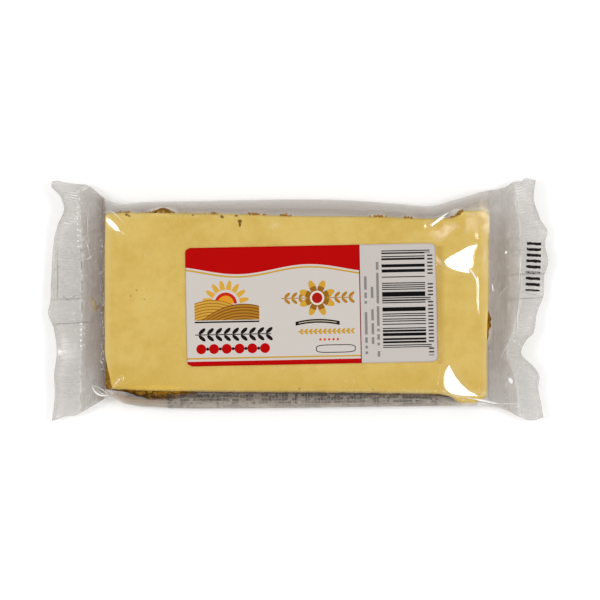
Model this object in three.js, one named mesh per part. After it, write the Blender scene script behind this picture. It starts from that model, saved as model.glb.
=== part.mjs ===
// A wrapped oat bar, lying on its back seam: a sealed clear pillow pack with a crimped fin
// at each end, a front label on its roof, and a back label that runs from the underside
// up the near flank. Millimetres, +X along the bar, +Z up. The origin is the middle of the
// pack's footprint, on the surface that it lies on.
import * as THREE from 'three';

// ---- Driving dimensions ---------------------------------------------------------------
const bar = { left: -62.4, right: 61.5 };
const roofHeight = 13.8;      // top of the film over the bar
const floorHeight = 0.6;      // underside of the film, held up by the seam and the back label
const rimHeight = 5.2;        // where the side bulge is widest
const rimThickness = 0.6;     // film along the side bulge
const finHeight = 5.0;        // middle of both end fins
const finThickness = 1.0;

const seal = { left: -70.0, right: 72.4 };      // where each crimp starts, at mid width
const tip = { left: -80.0, right: 80.0 };       // nominal outer end of each fin

const tentBow = 1.35;         // above 1 the film of each tent hangs in towards the bar
const crimpCount = 83;        // ridges across one fin
const crimpDepth = 0.3;       // from ridge to groove
const plainMargin = 0.2;      // share of the fin past the crimp, at its outer edge

const seamWidth = 7.8;        // back seam, folded flat
const seamWall = 0.2;
const seamLeftY = -4.1;       // the seam runs askew, from here at the left fin
const seamRightY = 4.6;       // to here at the right one

const frontLabel = { length: 80.5, width: 38.1, corner: 1.6, thickness: 0.3 };
const frontLabelCentre = { x: 4.3, y: -2.0 };
const frontLabelTurn = THREE.MathUtils.degToRad(1.15);
const backLabel = { left: -56.0, right: 58.0, inner: -9.0, thickness: 0.3 };
const backLabelRise = 0.12;   // how far up the near flank's fall it reaches, from 1 to 0
const labelGap = 0.3;

// The pack's plan outline: [along, across] on the two sides, [across, along] at the ends.
const farSide = through([
  [-80.0, 38.3], [-78.2, 38.5], [-74.9, 37.9], [-70.0, 37.4], [-68.0, 37.3], [-66.8, 36.8],
  [-62.4, 32.8], [-57.2, 31.0], [-50.0, 31.6], [-25.0, 32.1], [2.0, 32.5], [14.0, 32.3],
  [33.0, 31.0], [42.0, 30.3], [50.5, 32.3], [61.5, 35.4], [65.7, 35.9], [69.0, 36.6],
  [72.4, 38.0], [75.1, 38.3], [76.7, 39.3], [80.0, 38.6],
]);
const nearSide = through([
  [-80.0, -39.3], [-78.1, -38.8], [-75.1, -37.8], [-71.4, -37.5], [-69.4, -36.6],
  [-65.9, -34.4], [-61.8, -31.7], [-60.8, -31.2], [-59.8, -31.7], [-56.0, -33.6],
  [-50.0, -34.6], [-35.0, -35.1], [0.0, -34.9], [20.0, -34.6], [52.0, -34.3],
  [61.5, -34.6], [66.5, -35.4], [72.2, -37.8], [75.9, -39.1], [80.0, -38.2],
]);
const leftTip = through([
  [-39.3, -79.6], [-35.0, -79.0], [-30.0, -78.6], [-25.0, -78.8], [-17.3, -77.9],
  [-9.5, -78.9], [-4.2, -80.9], [-0.5, -80.1], [10.0, -79.7], [18.9, -79.0], [24.0, -77.7],
  [29.2, -75.6], [33.1, -76.7], [36.9, -79.8], [39.3, -79.0],
]);
const rightTip = through([
  [-39.3, 79.5], [-33.0, 78.5], [-28.5, 77.7], [-25.0, 78.1], [-22.4, 76.7], [-17.3, 72.0],
  [-13.4, 73.6], [-10.8, 76.1], [-4.4, 77.3], [2.0, 79.5], [7.0, 79.6], [12.4, 80.9],
  [18.0, 79.9], [22.2, 80.8], [26.0, 78.4], [33.1, 76.2], [39.3, 77.0],
]);
// Where the roof over the bar begins to round down to each side: [along, across].
const nearShoulder = through([
  [-62.4, -29.6], [-57.0, -29.9], [38.0, -29.9], [45.0, -30.9], [51.0, -33.1],
  [57.0, -33.4], [61.5, -31.9],
]);
const farShoulder = through([
  [-62.4, 27.8], [-53.0, 27.9], [0.0, 27.1], [42.0, 26.1], [48.5, 26.3], [52.5, 28.0],
  [58.0, 28.8], [61.5, 28.0],
]);
// Where each crimp starts, and how far each fin's outer edge curls up or down.
const leftSeal = through([[-39.3, -70.8], [0, seal.left], [39.3, -71.5]]);
const rightSeal = through([
  [-39.3, 71.5], [-25.0, 70.5], [-17.0, 68.0], [-8.0, 70.5], [4.0, seal.right],
  [20.0, seal.right], [39.3, 69.5],
]);
const leftCurl = through([
  [-39.3, -0.4], [-26.0, 0.8], [-17.0, 2.6], [-4.0, -0.3], [2.0, 0.6], [12.0, -0.2],
  [22.0, 1.0], [30.0, 4.0], [39.3, 1.0],
]);
const rightCurl = through([
  [-39.3, -0.4], [-25.0, 0.4], [-17.0, 4.2], [-9.0, 1.6], [3.0, -0.3], [13.0, 1.4],
  [22.0, -0.3], [32.0, 3.8], [39.3, 1.6],
]);

// Rows along the pack. A share of 0 is the bar's end, 1 the crimp's start, 2 the fin's tip.
const barRows = [
  -60.8, -59.6, -56, -51, -44, -34, -22, -10, 2, 14, 26, 36, 44, 48, 51, 54.5, 58,
];
const tentShares = [0, 0.2, 0.4, 0.6, 0.8, 1];
const finShares = [1.06, 1.4, 1.57, 2 - plainMargin - 0.06, 2 - plainMargin, 2];
// Columns across the film: the flat part, then the fall to the side bulge.
const flatShares = [0.12, 0.36, 0.64, 0.88];
const fallShares = [0, 0.18, 0.4, 0.62, 0.8, 0.93, 1];

// ---- Small helpers --------------------------------------------------------------------
// A smooth curve through points given as [x, y]. It is level at each peak and dip.
function through(points) {
  const slopes = points.slice(1).map(([x, y], i) => (y - points[i][1]) / (x - points[i][0]));
  const tangents = points.map((_, i) => {
    const before = slopes[Math.max(i - 1, 0)];
    const after = slopes[Math.min(i, slopes.length - 1)];
    return before * after <= 0 ? 0 : (2 * before * after) / (before + after);
  });
  return (x) => {
    let i = 0;
    while (i < points.length - 2 && x > points[i + 1][0]) i += 1;
    const [x0, y0] = points[i];
    const [x1, y1] = points[i + 1];
    const t = THREE.MathUtils.clamp((x - x0) / (x1 - x0), 0, 1);
    const rise = t * t * (3 - 2 * t);
    const lean = (x1 - x0) * t * (1 - t);
    return y0 + (y1 - y0) * rise + lean * (tangents[i] * (1 - t) - tangents[i + 1] * t);
  };
}

const { lerp, clamp, smoothstep } = THREE.MathUtils;

// ---- The film's form ------------------------------------------------------------------
function makeStation(side, share, x) {
  const isLeft = side === 'left';
  const barEnd = bar[side];
  const alongTent = lerp(barEnd, seal[side], Math.min(share, 1));
  const nominal = share > 1 ? lerp(seal[side], tip[side], share - 1) : alongTent;
  return {
    share,
    x: share === 0 && x !== undefined ? x : nominal,
    barEnd,
    sealLine: isLeft ? leftSeal : rightSeal,
    tipLine: isLeft ? leftTip : rightTip,
    curl: isLeft ? leftCurl : rightCurl,
  };
}

function alongAt(station, y) {
  if (station.share === 0) return station.x;
  const sealX = station.sealLine(y);
  if (station.share <= 1) return lerp(station.barEnd, sealX, station.share);
  return lerp(sealX, station.tipLine(y), station.share - 1);
}

function finMiddle(station, y) {
  const outwards = clamp((station.share - 0.4) / 1.6, 0, 1);
  return finHeight + station.curl(y) * outwards ** 1.5;
}

// The film keeps its full height to a shoulder over the bar's edge, then falls to the rim.
function shoulders(station) {
  const spread = Math.min(station.share, 1);
  return {
    near: lerp(nearShoulder(station.x), nearSide(station.x) + 1.0, spread),
    far: lerp(farShoulder(station.x), farSide(station.x) - 1.0, spread),
  };
}

function flankFall(fall) {
  return (1 - fall ** 1.6) ** 0.6;
}

function filmHeight(station, y, fall, sheet) {
  const stillOpen = (1 - Math.min(station.share, 1)) ** tentBow;
  const sealed = finMiddle(station, y) + sheet * finThickness / 2;
  const overBar = sheet > 0 ? roofHeight : floorHeight;
  const flat = lerp(sealed, overBar, stillOpen);
  const rim = lerp(sealed, rimHeight + sheet * rimThickness / 2, stillOpen);
  return lerp(rim, flat, flankFall(fall));
}

function seamAcross(x) {
  return lerp(seamLeftY, seamRightY, (x - tip.left) / (tip.right - tip.left));
}

// Across positions, from the near side to the far side, each with its fall to the rim.
function columns(station, sheet) {
  const near = nearSide(station.x);
  const far = farSide(station.x);
  const shoulder = shoulders(station);
  const list = fallShares.map((fall) => ({ y: lerp(shoulder.near, near, fall), fall }));
  list.reverse();
  const flats = flatShares.map((share) => lerp(shoulder.near, shoulder.far, share));
  if (sheet < 0) {
    const seam = seamAcross(station.x);
    const edge = seamWidth / 2;
    const seamColumns = [-edge - seamWall, -edge, 0, edge, edge + seamWall];
    flats.splice(2, 0, ...seamColumns.map((offset) => seam + offset));
  }
  flats.forEach((y) => list.push({ y, fall: 0 }));
  fallShares.forEach((fall) => list.push({ y: lerp(shoulder.far, far, fall), fall }));
  return list;
}

function seamDrop(station, y) {
  const distance = Math.abs(y - seamAcross(station.x));
  const onSeam = 1 - smoothstep(distance, seamWidth / 2, seamWidth / 2 + seamWall);
  return floorHeight * onSeam;
}

function makeRow(station, sheet) {
  const near = nearSide(station.x);
  const far = farSide(station.x);
  if (station.share <= 1) {
    return columns(station, sheet).map(({ y, fall }) => {
      const drop = sheet < 0 ? seamDrop(station, y) : 0;
      const z = filmHeight(station, y, fall, sheet) - drop;
      return { across: (y - near) / (far - near), point: [alongAt(station, y), y, z] };
    });
  }
  const isCrimped = station.share < 2 - plainMargin;
  return Array.from({ length: 2 * crimpCount + 1 }, (_, i) => {
    const across = i / (2 * crimpCount);
    const y = lerp(near, far, across);
    const ridge = isCrimped ? (i % 2 - 0.5) * crimpDepth : 0;
    const drop = sheet < 0 ? seamDrop(station, y) / 2 : 0;
    const z = finMiddle(station, y) + sheet * finThickness / 2 + ridge - drop;
    return { across, point: [alongAt(station, y), y, z] };
  });
}

// ---- Closed solids from two sheets of rows --------------------------------------------
class Skin {
  positions = [];
  indices = [];

  addRow(row) {
    return row.map(({ across, point }) => {
      this.positions.push(...point);
      return { across, index: this.positions.length / 3 - 1 };
    });
  }

  // Fills the strip between two rows. Rows of unlike length are matched by their across.
  stitch(rowA, rowB) {
    const isEven = rowA.length === rowB.length;
    const key = (row, i) => (isEven ? i : row[i].across);
    let a = 0;
    let b = 0;
    while (a < rowA.length - 1 || b < rowB.length - 1) {
      const canStepA = a < rowA.length - 1;
      const canStepB = b < rowB.length - 1;
      const stepA = canStepA && (!canStepB || key(rowA, a + 1) <= key(rowB, b + 1));
      if (stepA) {
        this.indices.push(rowA[a].index, rowB[b].index, rowA[a + 1].index);
        a += 1;
      } else {
        this.indices.push(rowA[a].index, rowB[b].index, rowB[b + 1].index);
        b += 1;
      }
    }
  }

  close(topRows, bottomRows) {
    const top = topRows.map((row) => this.addRow(row));
    const bottom = bottomRows.map((row) => this.addRow(row));
    const last = top.length - 1;
    for (let i = 0; i < last; i += 1) {
      this.stitch(top[i], top[i + 1]);
      this.stitch(bottom[i + 1], bottom[i]);
    }
    this.stitch(bottom[0], top[0]);
    this.stitch(top[last], bottom[last]);
    this.stitch(top.map((row) => row[0]), bottom.map((row) => row[0]));
    this.stitch(bottom.map((row) => row.at(-1)), top.map((row) => row.at(-1)));
    const geometry = new THREE.BufferGeometry();
    geometry.setAttribute('position', new THREE.Float32BufferAttribute(this.positions, 3));
    geometry.setIndex(this.indices);
    geometry.computeVertexNormals();
    return geometry;
  }
}

// ---- Sub-parts ------------------------------------------------------------------------
const stations = [
  ...[...tentShares, ...finShares].reverse().map((share) => makeStation('left', share)),
  ...barRows.map((x) => makeStation(x < 0 ? 'left' : 'right', 0, x)),
  ...[...tentShares, ...finShares].map((share) => makeStation('right', share)),
];

function makeWrapper() {
  const topRows = stations.map((station) => makeRow(station, 1));
  const bottomRows = stations.map((station) => makeRow(station, -1));
  return new Skin().close(topRows, bottomRows);
}

function makeFrontLabel() {
  const { length, width, corner, thickness } = frontLabel;
  const x = length / 2;
  const y = width / 2;
  const outline = new THREE.Shape();
  outline.moveTo(corner - x, -y);
  outline.lineTo(x - corner, -y);
  outline.absarc(x - corner, corner - y, corner, -Math.PI / 2, 0);
  outline.lineTo(x, y - corner);
  outline.absarc(x - corner, y - corner, corner, 0, Math.PI / 2);
  outline.lineTo(corner - x, y);
  outline.absarc(corner - x, y - corner, corner, Math.PI / 2, Math.PI);
  outline.lineTo(-x, corner - y);
  outline.absarc(corner - x, corner - y, corner, Math.PI, 1.5 * Math.PI);
  return new THREE.ExtrudeGeometry(outline, {
    depth: thickness,
    bevelEnabled: false,
    curveSegments: 6,
  });
}

// The film's section from the back label's inner edge, round the near rim and up the flank.
function nearFlankPath(station) {
  const near = nearSide(station.x);
  const shoulder = shoulders(station).near;
  const underside = [[backLabel.inner, floorHeight]];
  const wrap = (fall, sheet) => {
    const y = lerp(shoulder, near, fall);
    return [y, filmHeight(station, y, fall, sheet)];
  };
  const below = fallShares.map((fall) => wrap(fall, -1));
  const above = fallShares.filter((fall) => fall > backLabelRise).map((fall) => wrap(fall, 1));
  return [...underside, ...below, ...above.reverse()];
}

// Moves a path off itself, to its outer side, by a distance.
function offsetPath(path, distance) {
  const normals = path.slice(1).map(([y, z], i) => {
    const [fromY, fromZ] = path[i];
    return new THREE.Vector2(z - fromZ, fromY - y).normalize();
  });
  return path.map(([y, z], i) => {
    const before = normals[Math.max(i - 1, 0)];
    const after = normals[Math.min(i, normals.length - 1)];
    const mean = before.clone().add(after).normalize();
    const reach = distance / mean.dot(before);
    return [y - mean.x * reach, z - mean.y * reach];
  });
}

function makeBackLabel() {
  const labelStations = stations.filter(({ share, x }) => (
    share === 0 && x >= backLabel.left && x <= backLabel.right
  ));
  const sheetAt = (distance) => labelStations.map((station) => (
    offsetPath(nearFlankPath(station), distance).map(([y, z], i) => (
      { across: i, point: [station.x, y, z] }
    ))
  ));
  const inside = sheetAt(labelGap);
  const outside = sheetAt(labelGap + backLabel.thickness);
  return new Skin().close(outside, inside);
}

// ---- The pack -------------------------------------------------------------------------
const clearFilm = new THREE.MeshStandardMaterial({ color: 0xcfcac4, roughness: 0.12 });
const printedPaper = new THREE.MeshStandardMaterial({ color: 0xd9d4cf, roughness: 0.35 });
const clearLabel = new THREE.MeshStandardMaterial({ color: 0x8f857b, roughness: 0.25 });

const pack = new THREE.Group();

const wrapper = new THREE.Mesh(makeWrapper(), clearFilm);
wrapper.name = 'wrapper';
pack.add(wrapper);

const front = new THREE.Mesh(makeFrontLabel(), printedPaper);
front.name = 'front_label';
front.position.set(frontLabelCentre.x, frontLabelCentre.y, roofHeight + labelGap);
front.rotation.z = frontLabelTurn;
pack.add(front);

const back = new THREE.Mesh(makeBackLabel(), clearLabel);
back.name = 'back_label';
pack.add(back);

export default pack;
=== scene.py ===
"""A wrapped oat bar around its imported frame: the clear film, the bar inside it, both labels
and the date bars. Lengths are in millimetres until a mesh is made. +X runs along the bar,
+Y to the side away from the back label and +Z up."""
import math

import bpy
import numpy as np
from mathutils import Matrix, Vector


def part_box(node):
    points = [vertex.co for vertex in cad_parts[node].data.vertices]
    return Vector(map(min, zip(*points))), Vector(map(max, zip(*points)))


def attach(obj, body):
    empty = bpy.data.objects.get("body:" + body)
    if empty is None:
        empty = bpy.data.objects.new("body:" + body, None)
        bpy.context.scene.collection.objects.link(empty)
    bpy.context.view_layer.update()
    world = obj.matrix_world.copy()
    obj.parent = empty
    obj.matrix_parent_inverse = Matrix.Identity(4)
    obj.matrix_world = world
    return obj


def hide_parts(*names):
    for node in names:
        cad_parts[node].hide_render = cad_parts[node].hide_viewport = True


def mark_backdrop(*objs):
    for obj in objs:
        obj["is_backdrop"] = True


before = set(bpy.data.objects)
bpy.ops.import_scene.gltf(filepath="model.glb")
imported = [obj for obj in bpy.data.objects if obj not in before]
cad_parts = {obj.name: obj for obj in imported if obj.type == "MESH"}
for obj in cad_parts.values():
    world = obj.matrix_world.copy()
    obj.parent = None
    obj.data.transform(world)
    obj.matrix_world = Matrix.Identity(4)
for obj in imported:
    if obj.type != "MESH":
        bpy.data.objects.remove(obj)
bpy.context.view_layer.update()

MM = 0.001
SEED = 27

# ---- Sizes, in millimetres ------------------------------------------------------------
BAR_LEFT, BAR_RIGHT = -62.4, 61.5                  # the film's flat part over the bar
SLAB_RIGHT = 61.4
OATS_LEFT, OATS_RIGHT = -62.0, 61.0
LABEL_GAP = 0.3                                    # from the film up to the frame's label
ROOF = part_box("front_label")[0][2] / MM - LABEL_GAP
FLOOR = 0.6                                        # the film under the bar
RIM = 5.2                                          # where the side bulge is widest
FLANK_POWERS = (1.6, 0.6)                          # how squarely the flank rounds down
FIN = 5.0                                          # middle of both end fins
SHEET_GAP = 0.1                                    # between the two sealed sheets of a fin

SEAL = {-1: -70.0, 1: 72.4}                        # where each crimp starts, at mid width
TIP = {-1: -80.0, 1: 80.0}
BAR_END = {-1: BAR_LEFT, 1: BAR_RIGHT}

CRIMPS = 83                                        # ridges across one fin
CRIMP_DEPTH = {-1: 0.16, 1: 0.10}
PUCKER = {-1: 0.16, 1: 0.05}                       # height of the puckers beside the crimp
PLEATS = {-1: 1.0, 1: 0.5}                         # how pleated each tent is
PLAIN_MARGIN = 0.2                                 # share of the fin past the crimp

TENT_BOW = 1.35                                    # above 1 the tents hang in towards the bar

SEAM_WIDTH = 7.8
SEAM_WALL = 0.35
SEAM_DEPTH = {"bar": FLOOR - 0.02, "fin": 0.15}    # how far the seam stands below the film
SEAM_LEFT_Y, SEAM_RIGHT_Y = -4.1, 4.6              # its middle at both fins' outer edges
SEAM_SLOPE = (SEAM_RIGHT_Y - SEAM_LEFT_Y) / (TIP[1] - TIP[-1])
SEAM_MIDDLE = (SEAM_RIGHT_Y + SEAM_LEFT_Y) / 2

LABEL_LENGTH, LABEL_WIDTH, LABEL_CORNER = 80.5, 38.1, 1.6
LABEL_X, LABEL_Y = 4.3, -2.0
LABEL_TURN = math.radians(1.15)
LABEL_UNDER, LABEL_OVER = 0.04, 0.16               # heights of its two sides over the film

BACK_LEFT, BACK_RIGHT = -56.0, 58.0
BACK_INNER = -9.0                                  # its edge on the underside
BACK_RISE = 0.12                                   # its edge on the near flank, 0 at the top
BACK_UNDER, BACK_OVER = 0.06, 0.16

DATE_BARS = 9
DATE_LEFT, DATE_FAR = 74.1, 18.2                   # left end and middle of the furthest bar
DATE_LONG, DATE_HALF, DATE_LAST_HALF = 4.6, 0.46, 0.28
DATE_PITCH = 1.88


# ---- Curves and noise -----------------------------------------------------------------
def through(*points):
    """A smooth curve through points (x, y) that is level at each peak and dip."""
    xs, ys = np.array(points, float).T
    slopes = np.diff(ys) / np.diff(xs)
    before = np.concatenate([slopes[:1], slopes])
    after = np.concatenate([slopes, slopes[-1:]])
    one_way = before * after > 0
    total = np.where(one_way, before + after, 1.0)
    tangents = np.where(one_way, 2 * before * after / total, 0.0)

    def curve(x):
        i = np.clip(np.searchsorted(xs, x) - 1, 0, len(xs) - 2)
        span = xs[i + 1] - xs[i]
        t = np.clip((x - xs[i]) / span, 0, 1)
        rise = t * t * (3 - 2 * t)
        lean = span * t * (1 - t)
        return ys[i] + (ys[i + 1] - ys[i]) * rise + lean * (tangents[i] * (1 - t) - tangents[i + 1] * t)

    return curve


def lerp(a, b, t):
    return a + (b - a) * t


def smooth(low, high, x):
    """0 up to low, 1 from high on, and a smooth rise between."""
    t = np.clip((x - low) / (high - low), 0, 1)
    return t * t * (3 - 2 * t)


def lumps(x, y, size, seed):
    """Smooth random heights from -1 to 1, with lumps about that size across."""
    grid = np.random.default_rng(seed).uniform(-1, 1, (97, 97))
    u = np.asarray(x, float) / size + 0.37 * seed
    v = np.asarray(y, float) / size + 0.73 * seed
    i = np.floor(u).astype(int)
    j = np.floor(v).astype(int)
    s = (u - i) ** 2 * (3 - 2 * (u - i))
    t = (v - j) ** 2 * (3 - 2 * (v - j))
    low = lerp(grid[i % 97, j % 97], grid[(i + 1) % 97, j % 97], s)
    high = lerp(grid[i % 97, (j + 1) % 97], grid[(i + 1) % 97, (j + 1) % 97], s)
    return lerp(low, high, t)


# ---- The pack's outline and the fins' curl --------------------------------------------
far_side = through(
    (-80.0, 38.3), (-78.2, 38.5), (-74.9, 37.9), (-70.0, 37.4), (-68.0, 37.3), (-66.8, 36.8),
    (-62.4, 32.8), (-57.2, 31.0), (-50.0, 31.6), (-25.0, 32.1), (2.0, 32.5), (14.0, 32.3),
    (33.0, 31.0), (42.0, 30.3), (50.5, 32.3), (61.5, 35.4), (65.7, 35.9), (69.0, 36.6),
    (72.4, 38.0), (75.1, 38.3), (76.7, 39.3), (80.0, 38.6))
near_side = through(
    (-80.0, -39.3), (-78.1, -38.8), (-75.1, -37.8), (-71.4, -37.5), (-69.4, -36.6),
    (-65.9, -34.4), (-61.8, -31.7), (-60.8, -31.2), (-59.8, -31.7), (-56.0, -33.6),
    (-50.0, -34.6), (-35.0, -35.1), (0.0, -34.9), (20.0, -34.6), (52.0, -34.3), (61.5, -34.6),
    (66.5, -35.4), (72.2, -37.8), (75.9, -39.1), (80.0, -38.2))
tip_line = {
    -1: through(
        (-39.3, -79.6), (-35.0, -79.0), (-30.0, -78.6), (-25.0, -78.8), (-17.3, -77.9),
        (-9.5, -78.9), (-4.2, -80.9), (-0.5, -80.1), (10.0, -79.7), (18.9, -79.0), (24.0, -77.7),
        (29.2, -75.6), (33.1, -76.7), (36.9, -79.8), (39.3, -79.0)),
    1: through(
        (-39.3, 79.5), (-33.0, 78.5), (-28.5, 77.7), (-25.0, 78.1), (-22.4, 76.7),
        (-17.3, 72.0), (-13.4, 73.6), (-10.8, 76.1), (-4.4, 77.3), (2.0, 79.5), (7.0, 79.6),
        (12.4, 80.9), (18.0, 79.9), (22.2, 80.8), (26.0, 78.4), (33.1, 76.2), (39.3, 77.0)),
}
seal_line = {
    -1: through((-39.3, -70.8), (0, SEAL[-1]), (39.3, -71.5)),
    1: through(
        (-39.3, 71.5), (-25.0, 70.5), (-17.0, 68.0), (-8.0, 70.5), (4.0, SEAL[1]),
        (20.0, SEAL[1]), (39.3, 69.5)),
}
fin_curl = {
    -1: through(
        (-39.3, -0.4), (-26.0, 0.8), (-17.0, 2.6), (-4.0, -0.3), (2.0, 0.6), (12.0, -0.2),
        (22.0, 1.0), (30.0, 4.0), (39.3, 1.0)),
    1: through(
        (-39.3, -0.4), (-25.0, 0.4), (-17.0, 4.2), (-9.0, 1.6), (3.0, -0.3), (13.0, 1.4),
        (22.0, -0.3), (32.0, 3.8), (39.3, 1.6)),
}
# Where the roof over the bar begins to round down to each side.
near_shoulder = through(
    (-62.4, -29.6), (-57.0, -29.9), (38.0, -29.9), (45.0, -30.9), (51.0, -33.1), (57.0, -33.4),
    (61.5, -31.9))
far_shoulder = through(
    (-62.4, 27.8), (-53.0, 27.9), (0.0, 27.1), (42.0, 26.1), (48.5, 26.3), (52.5, 28.0),
    (58.0, 28.8), (61.5, 28.0))


# ---- The film's form ------------------------------------------------------------------
def by_end(x, pair):
    """The value for the end of the pack that x is at."""
    return np.where(x < 0, pair[-1], pair[1])


def line_by_end(x, lines, y):
    return np.where(x < 0, lines[-1](y), lines[1](y))


def share_at(x, y):
    """0 over the bar, 1 where the crimp starts and 2 at the fin's outer edge."""
    end = by_end(x, BAR_END)
    seal = line_by_end(x, seal_line, y)
    tip = line_by_end(x, tip_line, y)
    tent = (x - end) / (seal - end)
    fin = 1 + (x - seal) / (tip - seal)
    return np.clip(np.where(tent <= 1, tent, fin), 0, 2)


def straight_x(x, share):
    """The place along the pack of a share of x's end, if its fin and tent ran straight."""
    end, seal, tip = by_end(x, BAR_END), by_end(x, SEAL), by_end(x, TIP)
    return np.where(share <= 1, lerp(end, seal, share), lerp(seal, tip, share - 1))


def nominal_x(x, share):
    """The place along the pack that a point would have if its fin and tent ran straight."""
    return np.where(share == 0, x, straight_x(x, share))


def along(end, share, y):
    """Where a share of one end lies along the pack, at any y."""
    seal = seal_line[end](y)
    if share <= 1:
        return lerp(BAR_END[end], seal, share)
    return lerp(seal, tip_line[end](y), share - 1)


def seam_across(x):
    """The middle of the back seam."""
    return SEAM_MIDDLE + SEAM_SLOPE * x


def to_label(x, y):
    """The distances along and across the front label from its middle."""
    c, s = math.cos(LABEL_TURN), math.sin(LABEL_TURN)
    return (x - LABEL_X) * c + (y - LABEL_Y) * s, (y - LABEL_Y) * c - (x - LABEL_X) * s


def from_label(u, v):
    c, s = math.cos(LABEL_TURN), math.sin(LABEL_TURN)
    return LABEL_X + u * c - v * s, LABEL_Y + u * s + v * c


def on_label(x, y, margin):
    """1 on the front label and 0 further than the margin from it."""
    u, v = to_label(x, y)
    over = np.maximum(np.abs(u) - LABEL_LENGTH / 2, np.abs(v) - LABEL_WIDTH / 2)
    return 1 - smooth(0, margin, over)


# Each facet is a flat patch where the film stands off the bar: the slope of its plane, the
# toe where that plane meets the film, and its corners, anticlockwise. A bite is a circle
# that hollows out one of its sides: centre and radius.
FACETS = (
    # the big folds over the right end of the bar
    dict(slope=(-0.205, 0.045), toe=(57.8, 17.4), bite=(79.8, 8.7, 23.8), corners=(
        (57.8, 17.8), (55.1, 17.2), (49.7, 14.2), (48.1, 13.3), (46.6, 11.8), (47.8, 9.9),
        (50.9, 8.6), (54.6, 7.9), (56.4, 8.3))),
    dict(slope=(-0.208, -0.016), toe=(57.6, -30.6), bite=(65.5, -15.0, 17.8), corners=(
        (48.4, -21.2), (46.9, -23.4), (46.6, -26.0), (47.0, -29.1), (48.9, -30.7), (53.2, -31.3),
        (57.6, -31.5), (57.8, -30.6), (49.4, -20.9))),
    dict(slope=(-0.213, 0.050), toe=(49.2, 28.0), corners=(
        (42.4, 23.9), (42.9, 23.0), (49.1, 27.3), (48.5, 28.2))),
    dict(slope=(-0.203, 0.050), toe=(58.1, 19.3), corners=(
        (57.2, 21.2), (57.5, 19.0), (57.9, 19.0), (57.6, 21.4))),
    # the creases at the left corners
    dict(slope=(0.200, 0.048), toe=(-61.0, 22.2), corners=(
        (-62.2, 26.5), (-61.3, 24.6), (-60.2, 22.9), (-58.7, 21.8), (-56.9, 21.4), (-57.3, 22.4),
        (-58.4, 24.0), (-60.2, 25.6))),
    dict(slope=(0.199, -0.010), toe=(-60.6, -29.4), corners=(
        (-60.6, -29.2), (-60.2, -29.6), (-56.8, -25.7), (-57.1, -25.4))),
)
FOLD_WALL = 0.9                                    # slope of a fold's steep side
FOLD_SOFTNESS = 0.05
# The long tail under the first fold: its left and right edge as the fold runs down in y.
tail_left = through(
    (-6.8, 58.35), (-1.2, 57.65), (1.5, 57.6), (4.2, 57.6), (6.8, 56.9), (8.7, 55.6), (10.2, 54.4))
tail_right = through(
    (-6.8, 58.5), (-1.2, 58.2), (1.5, 58.2), (4.2, 58.2), (6.8, 57.8), (8.7, 57.0), (10.2, 56.4))
TAIL_SLOPE = 0.202


def above_zero(value):
    """The value where it is above 0 and 0 elsewhere, with a soft bend between."""
    return FOLD_SOFTNESS * np.logaddexp(0, value / FOLD_SOFTNESS)


def facet(x, y, slope, toe, corners, bite=None):
    """How far one facet lifts the film, rounded where it meets the rest."""
    plane = slope[0] * (x - toe[0]) + slope[1] * (y - toe[1])
    for (ax, ay), (bx, by) in zip(corners, corners[1:] + corners[:1]):
        outside = ((by - ay) * (x - ax) - (bx - ax) * (y - ay)) / math.hypot(bx - ax, by - ay)
        plane = plane - FOLD_WALL * above_zero(outside)
    if bite:
        plane = plane - FOLD_WALL * above_zero(bite[2] - np.hypot(x - bite[0], y - bite[1]))
    return above_zero(plane)


def tail(x, y):
    """The narrow curved fold that runs down from the first facet."""
    left, right = tail_left(y), tail_right(y)
    rise = TAIL_SLOPE * (right - np.clip(x, left, right)) - FOLD_WALL * np.maximum(left - x, 0)
    return np.maximum(rise, 0) * smooth(-7.2, -6.4, y) * (1 - smooth(9.4, 10.2, y))


def folds(x, y):
    """How far all the folds together lift the upper sheet."""
    return np.maximum(sum(facet(x, y, **patch) for patch in FACETS), tail(x, y))


def wrinkles(x, y, size, seed):
    """Thin raised lines between smooth patches about that size across, from 0 to 1."""
    return (1 - np.abs(lumps(x, y, size, seed))) ** 5


def fall_at(y, nominal, spread):
    """0 between the shoulders and 1 at the rim of either side."""
    near, far = near_side(nominal), far_side(nominal)
    shoulder_near = lerp(near_shoulder(nominal), near + 1.0, spread)
    shoulder_far = lerp(far_shoulder(nominal), far - 1.0, spread)
    near_fall = (shoulder_near - y) / (shoulder_near - near)
    far_fall = (y - shoulder_far) / (far - shoulder_far)
    return np.clip(np.maximum(near_fall, far_fall), 0, 1)


def fin_middle(x, y, share, ridge):
    """Height halfway between the two sheets at a fin, with its curl and its crimp."""
    outwards = np.clip((share - 0.4) / 1.6, 0, 1) ** 1.5
    middle = FIN + line_by_end(x, fin_curl, y) * outwards
    crimped = smooth(1.0, 1.03, share) * (1 - smooth(1.96 - PLAIN_MARGIN, 2 - PLAIN_MARGIN, share))
    beat = np.abs(ridge % 1 - 0.5) * 4 - 1
    strong = 1 + 0.35 * np.cos(np.pi * np.floor(ridge))
    return middle + by_end(x, CRIMP_DEPTH) / 2 * beat * strong * crimped


def tent_pleats(x, y, share):
    """Pleats and wrinkles in the slack film of both tents."""
    slack = smooth(0.0, 0.35, share) * (1 - smooth(0.9, 1.08, share))
    pleats = lumps(x / 3, y, size=2.6, seed=3) * 0.3
    pleats = pleats + wrinkles(x * 0.45 + y * 0.12, y, size=1.5, seed=4) * 0.22
    return slack * (pleats * by_end(x, PLEATS))


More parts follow.
